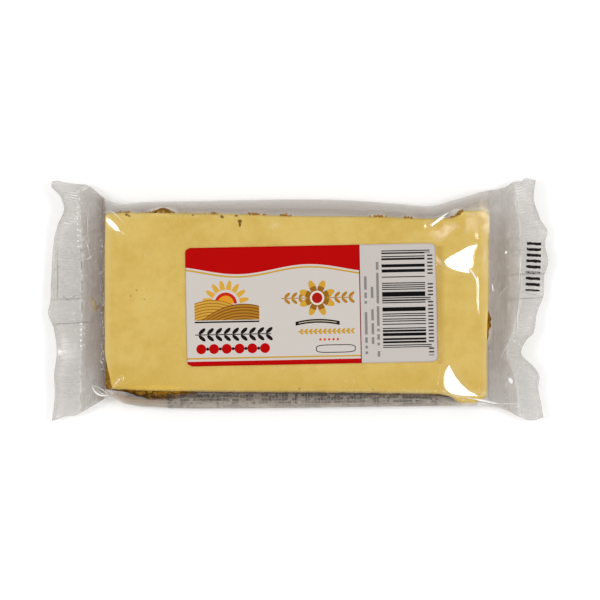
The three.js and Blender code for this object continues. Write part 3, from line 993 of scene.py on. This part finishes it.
def stem_over_discs(u, v):
    """A stem of dark leaves above a row of red discs with dark beads between them."""
    return (
        (leafy_stem(u, v, -37.5, -13.1, -9.0, pitch=2.7, leaf=1.15), LABEL_BLACK),
        (discs(u, v, -37.7, -13.1, -13.6, pitch=4.1, radius=1.6), LABEL_RED),
        (discs(u, v, -35.65, -15.15, -13.6, pitch=4.1, radius=0.5), LABEL_BLACK))


def flower_on_sprig(f, u, v):
    """A gold flower on a sprig."""
    petals, radius = rosette(f, u, v, 1.9, 2.2, petals=8, inner=2.3, outer=6.0)
    return (
        (leafy_stem(u, v, -9.6, 13.4, 2.2, pitch=2.3, leaf=1.0), rgb(176, 122, 36)),
        (petals, rgb(206, 158, 56)),
        (petals * radius.below(3.9), rgb(150, 98, 28)),
        (radius.below(2.3), rgb(222, 214, 200)),
        (radius.below(1.7), rgb(170, 24, 18)))


def ribbon_and_frame(u, v):
    """A dark drooping ribbon, a thin gold stem, a few dots and an empty rounded frame."""
    ribbon = abs(v + 5.2 + ((u - 1.9) / 7.4) ** 2 * 0.9)
    frame_line = rounded(u, v, 7.6, -14.2, 6.4, 1.35) * (1 - rounded(u, v, 7.6, -14.2, 6.1, 1.05))
    return (
        (ribbon.below(0.62) * u.between(-5.2, 9.0), LABEL_BLACK),
        (ribbon.below(0.10) * u.between(-4.2, 8.0), rgb(218, 206, 186)),
        (leafy_stem(u, v, -4.4, 13.2, -8.6, pitch=1.5, leaf=0.5), LABEL_GOLD),
        (discs(u, v, 2.0, 9.4, -11.2, pitch=1.4, radius=0.40), rgb(206, 70, 26)),
        (frame_line, rgb(70, 64, 62)))


def stripes_and_ticks(f, u, v):
    """Bar stripes, three broken lines and a column of ticks on the plain panel."""
    across = abs(v - 1.5)
    guard = abs(across - 15.2).below(0.6).larger(across.below(0.6))
    stripe = f.dice((v / STRIPE).floor()).above(0.5) * (1 - guard)
    stripe = stripe + guard * abs((v / (2 * STRIPE)).fraction() - 0.5).below(0.25)
    field = box(u, v, 22.8, 36.7, -14.3, 17.3) + guard * u.between(36.6, 38.4)
    coats = [(stripe * field.above(0.5), rgb(16, 14, 14))]
    for line, low, high, seed in ((17.5, -17.2, 8.8, 0), (19.6, -13.0, 5.6, 40), (21.4, -17.2, 13.4, 80)):
        row = dashes(f, v, 0.9, seed) * box(u, v, line - 0.42, line + 0.42, low, high)
        coats.append((row * 0.62, rgb(70, 64, 60)))
    ticks = (v / 1.15).fraction().below(0.42) * dashes(f, v, 2.3, 900, gaps=0.1)
    ticks = ticks * box(u, v, 37.5, 39.2, -17.0, 16.6) * (1 - guard)
    return *coats, (ticks, rgb(52, 46, 44))


def label_print():
    f = Finish("label_print")
    x, y, _ = f.axes(f.places())
    u, v = to_label(x, y)
    ink = f.painted(
        LABEL_WHITE, *fields(u, v), *sun_over_hills(f, u, v), *stem_over_discs(u, v),
        *flower_on_sprig(f, u, v), *ribbon_and_frame(u, v), *stripes_and_ticks(f, u, v))
    return f.done(f.principled(base_color=ink, roughness=0.45, specular_ior_level=0.03))


# ---- The other finishes ---------------------------------------------------------------
def clear_label():
    """A clear sheet with rows of short strokes that form no letters."""
    f = Finish("clear_label")
    place = f.places()
    x, y, _ = f.axes(place)
    line = f.attribute("path") / 1.95
    row = line.floor()
    body = abs(line.fraction() - 0.5).below(0.28)
    group = f.dice((x * 0.42 + row * 17.0).floor()).above(0.16)
    step = x * 0.95 + row * 31.0
    stroke = step.fraction().below(0.86) * f.dice(step.floor()).above(0.18)
    worn = f.noise(f.stretch(place, 1.0, 0.6, 0.6), 1.6, 2.0).ramp(0.38, 0.55, 0.35, 1.0)
    ink = body * group * stroke * worn * x.between(-42.0, 45.0)
    printed = x.ramp(-43.0, -35.0) * x.ramp(54.0, 46.0, 0.0, 1.0)
    clear = f.mix(printed, f.see_through(0.985, 0.98, 0.97), f.see_through(0.95, 0.925, 0.89))
    sheet = f.principled(base_color=rgb(212, 199, 186), roughness=0.3)
    dark = f.principled(base_color=rgb(58, 50, 46), roughness=0.4)
    veil = (y.ramp(-32.0, -34.7) * 0.42 + 0.05) * printed + 0.01
    return f.done(f.mix(ink * 0.6, f.mix(veil, clear, sheet), dark))


def date_ink():
    f = Finish("date_ink")
    place = f.places()
    _, y, _ = f.axes(place)
    # The sixth bar is printed faintly.
    faint = y.between(7.7, 9.3) * f.noise(place, 0.45, 2.0).ramp(0.42, 0.50)
    base = f.colour(f.noise(place, 0.25, 2.0), rgb(8, 7, 7), rgb(26, 24, 23))
    base = f.colour(faint * 0.7, base, rgb(176, 174, 170))
    return f.done(f.principled(base_color=base, roughness=0.5, specular_ior_level=0.1))


def pale_floor():
    f = Finish("pale_floor")
    base = f.colour(f.noise(f.places(), 200.0, 2.0), rgb(251, 251, 250), rgb(253, 253, 252))
    return f.done(f.principled(
        base_color=base, roughness=0.7, emission_color=(1, 1, 1, 1), emission_strength=0.12))


# ---- The film -------------------------------------------------------------------------
def film_rows():
    """The ends' rows run outwards by share, the bar's rows by their place along it."""
    tent = np.concatenate([[0, 0.004, 0.012], np.linspace(0.04, 1, 24)])
    seal = np.linspace(1.006, 1.048, 8)
    fin = np.concatenate([seal, np.linspace(1.08, 1.74, 12), [1.77, 1.79, 1.81, 1.87, 1.94, 2.0]])
    shares = np.concatenate([tent, fin])
    left = [(-1, share) for share in shares[::-1]]
    right = [(1, share) for share in shares]
    over = np.concatenate([
        [BAR_LEFT + 0.04], np.arange(BAR_LEFT + 0.2, -54, 0.3), np.arange(-53.5, 42, 1.1),
        np.arange(42.3, 56.4, 0.3), np.arange(56.55, 59.4, 0.14), np.arange(59.6, BAR_RIGHT - 0.1, 0.3),
        [BAR_RIGHT - 0.04]])
    return left + [(0, x) for x in over] + right


def round_trip(over, under):
    """One closed ring: over the top and back underneath, without the two ends twice."""
    return np.concatenate([over, under[-2:0:-1]])


def cap_faces(first, columns, flip):
    """Faces between the upper and the lower edge at one outer end of the film."""
    ring = 2 * columns - 2
    faces = []
    for c in range(columns - 1):
        up, up_next = first + c, first + c + 1
        under, under_next = first + (ring - c) % ring, first + ring - c - 1
        face = [up, up_next, under_next, under]
        if c == 0:
            face = [up, up_next, under_next]
        if c == columns - 2:
            face = [up, up_next, under]
        faces.append(face[::-1] if flip else face)
    return faces


def make_film():
    columns = 4 * CRIMPS + 1
    even = np.linspace(0, 1, columns)
    graded = lerp(even, 0.5 - 0.5 * np.cos(np.pi * even), 0.75)
    rows = film_rows()
    rings, shares, ridges, falls = [], [], [], []
    for end, value in rows:
        share = value if end else 0.0
        nominal = float(straight_x(end, value)) if end else value
        across = lerp(graded, even, min(share, 1))
        y = lerp(near_side(nominal), far_side(nominal), across)
        x = along(end, share, y) if end else np.full(columns, value)
        level = np.full(columns, share)
        top, bottom = (np.stack([x, y, film_height(x, y, level, sheet)], axis=-1) for sheet in (1, -1))
        fall = fall_at(y, nominal, min(share, 1))
        rings.append(round_trip(top, bottom))
        shares.append(round_trip(level, level))
        ridges.append(round_trip(across, across) * CRIMPS)
        falls.append(round_trip(fall, fall))
    ring = len(rings[0])
    points = np.concatenate(rings)
    faces = ring_faces(len(rows), ring).tolist()
    faces += cap_faces(0, columns, flip=False) + cap_faces((len(rows) - 1) * ring, columns, flip=True)
    piece = make_piece("film", points, faces, clear_film())
    hold(piece, "share", np.concatenate(shares))
    hold(piece, "ridge", np.concatenate(ridges))
    hold(piece, "fall", np.concatenate(falls))
    hold(piece, "fold", smooth(0.0, 0.35, folds(points[:, 0], points[:, 1])))
    return piece


# ---- The bar --------------------------------------------------------------------------
slab_near = through(
    (-62.4, -17.2), (-61.9, -19.8), (-61.3, -23.0), (-60.6, -26.2), (-60.1, -28.4), (-59.6, -28.9),
    (-57.0, -29.2), (-30.0, -29.9), (10.0, -30.2), (40.0, -30.6), (47.0, -30.9), (49.7, -31.8),
    (51.6, -33.1), (54.2, -33.9), (56.8, -34.0), (58.7, -33.0), (60.6, -32.2), (61.4, -31.6))
slab_far = through(
    (-62.4, 26.4), (-61.9, 27.4), (-60.6, 27.8), (-54.0, 27.8), (-40.0, 27.6), (-22.0, 27.4),
    (0.8, 26.7), (26.0, 26.5), (42.0, 25.9), (48.5, 26.1), (50.6, 26.5), (52.0, 27.3),
    (53.2, 28.4), (55.0, 28.4), (59.0, 28.5), (60.8, 28.3), (61.4, 27.4))
base_near = through(
    (-62.0, -28.7), (-57.0, -29.1), (-30.0, -29.7), (10.0, -30.1), (40.0, -30.5), (50.0, -31.3),
    (61.4, -31.2))
# How far the oats stand out past the slab, on the near and the far side.
near_bulge = through(
    (-62.0, 0.1), (-57.0, 0.3), (-54.0, 1.0), (-49.0, 2.4), (-44.3, 3.0), (-40.0, 2.3), (-35.0, 1.1),
    (-31.0, 0.3), (40.0, 0.3), (46.0, 0.0), (61.0, -0.4))
far_bulge = through(
    (-49.5, -0.4), (-47.0, 0.5), (-43.8, 1.5), (-41.0, 0.6), (-38.5, -0.4), (-15.5, -0.4),
    (-13.0, 0.3), (-10.5, -0.4), (-5.6, -0.4), (-3.8, 0.3), (-1.8, -0.4), (22.5, -0.4), (25.5, 0.4),
    (29.0, -0.4), (34.6, -0.4), (36.0, 0.2), (37.4, -0.4), (50.2, -0.4), (51.2, 0.5), (52.2, 0.9),
    (53.0, 0.3), (54.0, -0.4))
BASE_FLOOR, BASE_TOP = FLOOR + 0.15, 11.2
# The stretches of the slab's far edge that have crumbs.
EDGE_CRUMBS = ((-58, -54), (-50, -38), (-28, -26), (-16, -10), (-6, -2), (22, 29), (34, 37), (49, 53))
SLAB_TOP = ROOF - 0.2


def oats_end(side, y):
    """Where the oats end, with a lump past the slab at the right end."""
    if side < 0:
        return -61.9 + 0.5 * smooth(10, 20, y)
    lump = np.exp(-((y + 7.5) / 5.5) ** 2)
    return 60.4 + 0.4 * smooth(-12, 2, y) + lump * (1.35 + 0.5 * lumps(y, y * 0 + 2, size=1.1, seed=16))


def base_ring(t, up, flat):
    """The base's section at a share of its length, with sides tucked in at top and bottom."""
    height = lerp(BASE_FLOOR, BASE_TOP, up)
    x = lerp(OATS_LEFT, OATS_RIGHT, t)
    slab_edge = base_near(x)
    near, far = slab_edge - near_bulge(x), slab_far(x) + far_bulge(x)
    tuck = np.where(up > 0.5, np.abs(2 * up - 1) ** 3, np.abs(2 * up - 1) ** 5)
    near_y = near + tuck * np.maximum(slab_edge + 0.6 - near, 0.7)
    far_y = far - tuck * np.maximum(far - slab_far(x) + 0.6, 0.7)
    y = np.concatenate([
        near_y, lerp(near_y[-1], far_y[-1], flat), far_y[::-1], lerp(far_y[0], near_y[0], flat)])
    level = np.ones(len(flat))
    z = np.concatenate([height, BASE_TOP * level, height[::-1], BASE_FLOOR * level])
    return np.stack([lerp(oats_end(-1, y), oats_end(1, y), t), y, z], axis=-1)


def roughen(points):
    """Crags on all the faces of the base, deeper where its sides bulge."""
    x, y, z = points.T.copy()
    crag = lumps(x + z, y + 2 * z, size=2.4, seed=11) * 0.5 + lumps(x - z, y + z, size=1.1, seed=12) * 0.35
    crag = crag + lumps(x + 2 * z, y - z, size=0.55, seed=13) * 0.15
    middle = (slab_near(x) + slab_far(x)) / 2
    side = np.clip((np.abs(y - middle) - 26.0) / 1.5, 0, 1) * np.sign(y - middle)
    end = np.clip((np.abs(x + 0.4) - 60.4) / 1.0, 0, 1) * np.sign(x)
    near_loose = 0.4 + 0.25 * np.clip(near_bulge(x), 0, 2)
    far_loose = 0.4 + 0.6 * np.clip(far_bulge(x), 0, 2)
    points[:, 1] += crag * side * np.where(side < 0, near_loose, far_loose)
    points[:, 0] += crag * end * 0.5
    lifted = np.where(z > BASE_TOP - 0.1, crag * 0.3, 0)
    points[:, 2] += np.where(z < BASE_FLOOR + 0.1, np.abs(crag) * 0.5, lifted)


def make_base():
    """The oat base: a pressed block that bulges and crumbles on every side."""
    rows, sides, wide = 250, 24, 110
    up, flat = np.linspace(0, 1, sides), np.linspace(0, 1, wide)[1:-1]
    rings = [base_ring(t, up, flat) for t in np.linspace(0, 1, rows)]
    ring = len(rings[0])
    points = np.concatenate(rings)
    roughen(points)
    points = tuck_in(points)
    last = (rows - 1) * ring
    hubs = [points[:ring].mean(axis=0), points[last:].mean(axis=0)]
    points = np.concatenate([points, hubs])
    faces = ring_faces(rows, ring).tolist()
    for c in range(ring):
        d = (c + 1) % ring
        faces.append([c, d, len(points) - 2])
        faces.append([last + d, last + c, len(points) - 1])
    return make_piece("oat_base", points, faces, baked_oats())


def hub_faces(rings, around):
    """Faces of a round shape: a hub, some rings of points and a hub at the other side."""
    last = 1 + (rings - 1) * around
    faces = []
    for k in range(around):
        n = (k + 1) % around
        faces.append((0, 1 + k, 1 + n))
        for low in range(1, last, around):
            faces.append((low + k, low + around + k, low + around + n, low + n))
        faces.append((last + around, last + n, last + k))
    return faces


def flake_shape():
    """One rolled oat: a thin cupped oval, about 1 across."""
    around = 10
    rings = ((0.28, 0.10), (0.5, 0.0), (0.28, -0.10))
    points = [(0, 0, 0.10)]
    for radius, height in rings:
        for k in range(around):
            angle = 2 * math.pi * k / around
            cup = 0.35 * (radius * math.cos(angle)) ** 2
            points.append((radius * math.cos(angle), radius * math.sin(angle) * 0.76, height + cup))
    points.append((0, 0, -0.10))
    return np.array(points), hub_faces(len(rings), around)


def pebble(seed):
    """A small uneven lump, 1 across."""
    random = np.random.default_rng(seed)
    rings, around = 4, 8
    points = [(0, 0, 0.5)]
    for r in range(1, rings + 1):
        lean = math.pi * r / (rings + 1)
        for k in range(around):
            angle = 2 * math.pi * k / around
            radius = 0.5 * random.uniform(0.75, 1.1)
            out = radius * math.sin(lean)
            points.append((out * math.cos(angle), out * math.sin(angle), radius * math.cos(lean)))
    points.append((0, 0, -0.5))
    return np.array(points), hub_faces(rings, around)


def within_film(points, gap=0.15):
    """Which of many copies lie wholly inside the film."""
    x, y, z = np.moveaxis(points, -1, 0)
    low, high = sheets_at(x, y)
    return np.all((z > low + gap) & (z < high - gap), axis=1)


def under_edge(points):
    """Which of many copies stay under the slab's edge or within the base's bulges."""
    x, y = points[..., 0], points[..., 1]
    near = base_near(x) - np.maximum(near_bulge(x), 0) - 0.35
    far = slab_far(x) + np.maximum(far_bulge(x), 0) * 1.15 + 0.2
    ends = (x > oats_end(-1, y) - 0.45) & (x < oats_end(1, y) + 0.35)
    return np.all((y > near) & (y < far) & ends, axis=1)


def scatter(name, shape, points, finish):
    """One mesh of many copies of a shape."""
    count = points.shape[1]
    faces = [tuple(i + k * count for i in face) for k in range(len(points)) for face in shape[1]]
    return make_piece(name, points.reshape(-1, 3), faces, finish)


def placed(spot, size, turn=0.0):
    """The matrix that stretches a shape to a size, turns it about Z and moves it to a spot."""
    return Matrix.Translation(spot) @ Matrix.Rotation(turn, 4, "Z") @ Matrix.Diagonal((*size, 1))


def strew(name, seed, places, finish):
    """Copies of one pebble, each under its own matrix."""
    points, faces = pebble(seed)
    flat = np.concatenate([points, np.ones((len(points), 1))], axis=1)
    copies = np.stack([(flat @ np.array(place).T)[:, :3] for place in places])
    return scatter(name, (points, faces), copies, finish)


def lay_on(shape, spots, normals, random, sizes, tilt, thickness):
    """Copies of a flat shape laid at spots on a surface, each turned and tipped at random."""
    count = len(spots)
    spin = random.uniform(0, 2 * math.pi, (count, 1))
    lean = random.uniform(-tilt, tilt, (count, 1))
    size = random.uniform(*sizes, (count, 1))
    helper = np.where(np.abs(normals[:, 2:]) < 0.9, [[0, 0, 1.0]], [[1.0, 0, 0]])
    first = np.cross(helper, normals)
    first /= np.linalg.norm(first, axis=1)[:, None]
    second = np.cross(normals, first)
    across = np.cos(spin) * first + np.sin(spin) * second
    along_it = np.cos(spin) * second - np.sin(spin) * first
    tipped = np.cos(lean) * along_it + np.sin(lean) * normals
    raised = np.cos(lean) * normals - np.sin(lean) * along_it
    x, y, z = (shape[0][:, k][None, :, None] for k in range(3))
    frame_x, frame_y, frame_z = (axis[:, None, :] for axis in (across, tipped, raised))
    return spots[:, None] + size[:, None] * (x * frame_x + y * frame_y + z * thickness * frame_z)


def make_flakes(base):
    """Rolled oats over every side of the base that isn't under the slab."""
    random = np.random.default_rng(SEED)
    spots = np.array([vertex.co for vertex in base.data.vertices]) / MM
    normals = np.array([vertex.normal for vertex in base.data.vertices])
    x, y, _ = spots.T
    under_slab = (normals[:, 2] > 0.5) & (y > slab_near(x) + 1.0) & (y < slab_far(x) - 1.0)
    open_side = np.flatnonzero(~under_slab & (normals[:, 2] > -0.6))
    below = np.flatnonzero(normals[:, 2] <= -0.6)
    chosen = np.concatenate([random.choice(open_side, 4200), random.choice(below, 1500)])
    shape = flake_shape()
    points = lay_on(
        shape, spots[chosen], normals[chosen], random, sizes=(0.9, 4.2), tilt=0.5, thickness=0.42)
    return scatter("oat_flakes", shape, points[within_film(points) & under_edge(points)], oat_flake())


def make_slab():
    """The white chocolate: thicker along its middle, thin and rounded at its edge."""
    rows, columns = 250, 130
    t, s = np.linspace(0, 1, rows), np.linspace(0, 1, columns)
    t = lerp(t, 0.5 - 0.5 * np.cos(np.pi * t), 0.6)
    s = lerp(s, 0.5 - 0.5 * np.cos(np.pi * s), 0.7)
    x = lerp(BAR_LEFT, SLAB_RIGHT, t)[:, None] * np.ones(columns)
    near, far = slab_near(x), slab_far(x)
    y = lerp(near, far, s[None, :])
    # Both ends waver, and the right end is cut a little aslant.
    x = x + 0.15 * lumps(y, y * 0 + 3, size=7.0, seed=21) * smooth(56, 62, np.abs(x))
    x = x - (0.7 - 0.75 * smooth(-14, 2, y)) * smooth(40, SLAB_RIGHT, x) + 0.15 * smooth(-40, -62, x)
    rough = lumps(x, y * 0 + 5, size=0.9, seed=23) * 0.12 + lumps(x, y * 0 + 9, size=3.5, seed=24) * 0.10
    y = y + rough * smooth(24, 28, np.abs(y))
    inset = np.minimum(np.minimum(y - near, far - y), np.minimum(x + 62.6, 61.6 - x))
    inset = np.maximum(inset, 0)
    edge = 1 - np.clip(inset / 0.9, 0, 1)
    shoulder = np.sqrt(np.maximum(1 - edge ** 2, 0))
    slope = 0.35 * (1 - smooth(0, 3.2, inset))
    top = SLAB_TOP - 1.3 * (1 - shoulder) - slope + lumps(x, y, size=14.0, seed=22) * 0.05
    bottom = np.full_like(top, BASE_TOP - 0.6) + 0.5 * edge
    top = np.minimum(np.maximum(top, bottom + 0.02), roof_at(x, y) - 0.12)
    bottom = np.minimum(bottom, top - 0.4 * shoulder - 0.02)
    points, faces = slab_from_sheets(np.stack([x, y, top], axis=-1), np.stack([x, y, bottom], axis=-1))
    return make_piece("white_chocolate", points, faces, white_chocolate())


def make_cherries():
    random = np.random.default_rng(SEED + 1)
    spots = (
        (-36.5, -30.0, 8.0), (-12.0, -28.9, 5.0), (18.0, -29.1, 7.0), (42.0, -29.4, 4.5),
        (-50.0, 26.4, 6.0), (5.0, 25.8, 7.0), (33.0, 25.0, 5.0), (-60.9, -8.0, 6.0), (60.0, 12.0, 5.0))
    places = []
    for spot in spots:
        size = random.uniform(2.4, 4.2)
        places.append(placed(spot, (size, size * 0.5, size * 0.7), random.uniform(0, 6.3)))
    return strew("cherry_bits", 5, places, cherry_flesh())


def make_crumbs():
    """Loose crumbs: along the slab's far edge, and in the tents on the lower sheet."""
    random = np.random.default_rng(SEED + 2)
    places = []
    for _ in range(170):
        low_x, high_x = EDGE_CRUMBS[random.integers(len(EDGE_CRUMBS))]
        x = random.uniform(low_x, high_x)
        y = slab_far(x) + random.uniform(-0.25, 0.3) + max(far_bulge(x), 0.0) * random.uniform(0.0, 1.0)
        size = random.uniform(0.3, 0.9)
        turn = random.uniform(0, 2 * math.pi)
        z = min(SLAB_TOP - random.uniform(0.5, 1.2), float(roof_at(x, y + 0.3)) - 0.6)
        places.append(placed((x, y, z), (size, size * 0.7, size * 0.6), turn))
    for _ in range(14):
        end = random.choice([-1, 1])
        share = random.uniform(0.05, 0.4)
        y = random.uniform(-28, 28)
        x = float(along(end, share, y))
        low, _ = sheets_at(x, y)
        size = random.uniform(0.3, 0.7)
        turn = random.uniform(0, 2 * math.pi)
        places.append(placed((x, y, low + 0.4), (size, size * 0.8, size * 0.6), turn))
    return strew("crumbs", 9, places, oat_flake())


def make_chips():
    """Slivers of chocolate that broke off at the left end, and grains along the far edge."""
    random = np.random.default_rng(SEED + 3)
    places = []
    for x in random.uniform(-48.0, -18.0, 22):
        spot = (x, slab_far(x) + random.uniform(-0.1, 0.35), SLAB_TOP - random.uniform(0.7, 1.1))
        size = random.uniform(0.3, 0.8)
        places.append(placed(spot, (size, size * 0.6, size * 0.6)))
    for x, y, wide, long, turn in (
            (-65.9, -1.4, 1.5, 4.4, 0.35), (-65.2, -2.6, 1.1, 2.6, -0.6), (-64.0, -3.0, 0.8, 1.9, -0.3)):
        low, _ = sheets_at(x, y)
        places.append(placed((x, y, float(low) + 1.1), (wide, long, 1.0), turn))
    return strew("chocolate_chips", 14, places, white_chocolate())


# ---- The labels and the date bars -----------------------------------------------------
def make_front_label():
    rows, columns = 130, 62
    v = np.linspace(-LABEL_WIDTH / 2, LABEL_WIDTH / 2, columns)
    past = np.maximum(np.abs(v) - (LABEL_WIDTH / 2 - LABEL_CORNER), 0)
    half = LABEL_LENGTH / 2 - LABEL_CORNER + np.sqrt(np.maximum(LABEL_CORNER ** 2 - past ** 2, 0))
    u = np.linspace(-1, 1, rows)[:, None] * half[None, :]
    x, y = from_label(u, v[None, :] * np.ones((rows, 1)))
    z = roof_at(x, y)
    top, bottom = (np.stack([x, y, z + rise], axis=-1) for rise in (LABEL_OVER, LABEL_UNDER))
    points, faces = slab_from_sheets(top, bottom)
    return make_piece("front_sticker", points, faces, label_print())


def flank_path(x, offset):
    """The film's section at x, from the back label's inner edge round the near rim, moved
    outwards by the offset."""
    near, shoulder = float(near_side(x)), float(near_shoulder(x))
    falls = 1 - (1 - np.linspace(0, 1, 26)) ** FLANK_POWERS[0]
    y_low = lerp(shoulder, near, falls)
    y_high = lerp(shoulder, near, falls[falls > BACK_RISE][::-1])
    flat_y = np.linspace(BACK_INNER, shoulder, 30)[:-1]
    y = np.concatenate([flat_y, y_low, y_high[1:]])
    low, high = sheets_at(np.full_like(y, x), y)
    z = np.where(np.arange(len(y)) < len(flat_y) + len(y_low), low, high)
    run = np.gradient(np.stack([y, z], axis=-1), axis=0)
    run /= np.linalg.norm(run, axis=1)[:, None]
    return y - run[:, 1] * offset, z + run[:, 0] * offset


def flank_sheet(rows, offset):
    """One side of the back label: a grid of points with a section of the flank a row."""
    sections = []
    for x in rows:
        y, z = flank_path(x, offset)
        sections.append(np.stack([np.full_like(y, x), y, z], axis=-1))
    return np.array(sections)


def make_back_label():
    rows = np.linspace(BACK_LEFT, BACK_RIGHT, 116)
    outer, inner = flank_sheet(rows, BACK_OVER), flank_sheet(rows, BACK_UNDER)
    points, faces = slab_from_sheets(inner, outer)
    piece = make_piece("back_sticker", points, faces, clear_label())
    step = np.linalg.norm(np.diff(outer, axis=1), axis=2)
    path = np.concatenate([np.zeros((len(rows), 1)), np.cumsum(step, axis=1)], axis=1)
    hold(piece, "path", [path, path])
    return piece


def make_date_bars():
    """Short ink bars across the right fin, each with wavy edges; the last one is thinner."""
    points, faces = [], []
    long, wide = 30, 7
    t = np.linspace(0, 1, long)[:, None]
    s = np.linspace(-1, 1, wide)[None, :]
    for k in range(DATE_BARS):
        half = DATE_HALF if k < DATE_BARS - 1 else DATE_LAST_HALF
        left, middle = DATE_LEFT - 0.06 * k, DATE_FAR - DATE_PITCH * k
        ragged = 0.12 * lumps(s * 3, s * 0 + k, size=1.0, seed=31)
        wavy = 1 + 0.30 * lumps(t * 12, s * 2 + k * 7, size=1.0, seed=32)
        x = left + DATE_LONG * t + ragged * (2 * t - 1)
        y = middle - 0.28 * t + half * s * wavy
        first = len(points) * long * wide
        points.append(np.stack([x, y, roof_at(x, y) + 0.05], axis=-1).reshape(-1, 3))
        faces.append(grid_faces(long, wide, first))
    return make_piece("date_bars", np.concatenate(points), np.concatenate(faces), date_ink())


# ---- The pack -------------------------------------------------------------------------
film = make_film()
base = make_base()
flakes = make_flakes(base)
slab = make_slab()
cherries = make_cherries()
crumbs = make_crumbs()
chips = make_chips()
front_sticker = make_front_label()
back_sticker = make_back_label()
date_bars = make_date_bars()

for piece, slot_name in (
        (film, "clear_film"), (base, "oat_base"), (flakes, "oat_base"), (slab, "white_chocolate"),
        (cherries, "oat_base"), (crumbs, "oat_base"), (chips, "white_chocolate"),
        (front_sticker, "printed_label"), (back_sticker, "clear_label"), (date_bars, "printed_label")):
    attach(piece, "root")
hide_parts("wrapper")
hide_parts("front_label")
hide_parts("back_label")


# ---- Floor, light and camera ----------------------------------------------------------
IMAGE_WIDTH = 600                                  # pixels
PIXEL = 0.3225                                     # millimetres that one pixel spans
LENS, SENSOR = 250.0, 36.0
LOOKED_AT = (0.65, -0.3, 9.5)                      # millimetres
CAMERA_ELEVATION = 88.0


def make_floor():
    size = 2500.0
    points = [(-size, -size, 0), (size, -size, 0), (size, size, 0), (-size, size, 0)]
    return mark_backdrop(make_piece("floor", points, [[0, 1, 2, 3]], pale_floor(), "flat"))


def softbox(name, azimuth, elevation, distance, width, height, power):
    light = bpy.data.lights.new(name, "AREA")
    light.shape = "RECTANGLE"
    light.size = width
    light.size_y = height
    light.energy = power
    lamp = link(bpy.data.objects.new(name, light))
    a, e = math.radians(azimuth), math.radians(elevation)
    lamp.location = Vector((math.cos(e) * math.cos(a), math.cos(e) * math.sin(a), math.sin(e))) * distance
    lamp.rotation_euler = (-lamp.location).to_track_quat("-Z", "Y").to_euler()


def make_sky():
    """A soft pale sky, brighter overhead. Straight above it is dark, so a flat film hardly
    hazes what lies under it."""
    sky = Nodes(bpy.data.worlds.new("studio"))
    _, _, height = sky.axes(sky.add("ShaderNodeTexCoord", output="Generated"))
    strength = height.ramp(0.0, 1.0, 0.36, 0.76) * height.ramp(0.955, 0.985, 1.0, 0.12)
    light = sky.add("ShaderNodeBackground", inputs={"Color": (1, 1, 1, 1), "Strength": strength})
    bpy.context.scene.world = sky.done(light, "ShaderNodeOutputWorld")


def make_camera():
    data = bpy.data.cameras.new("camera")
    data.lens = LENS
    data.sensor_width = SENSOR
    camera = link(bpy.data.objects.new("camera", data))
    distance = IMAGE_WIDTH * PIXEL * MM * LENS / SENSOR
    elevation = math.radians(CAMERA_ELEVATION)
    towards = Vector((0, -math.cos(elevation), math.sin(elevation)))
    camera.location = Vector(LOOKED_AT) * MM + towards * distance
    camera.rotation_euler = (math.pi / 2 - elevation, 0, 0)
    bpy.context.scene.camera = camera


make_floor()
for name, azimuth in (("left_softbox", 180), ("right_softbox", 0)):
    softbox(name, azimuth, elevation=62, distance=1.0, width=0.25, height=0.30, power=2.4)
make_sky()
make_camera()
bpy.context.scene.view_settings.view_transform = "Standard"
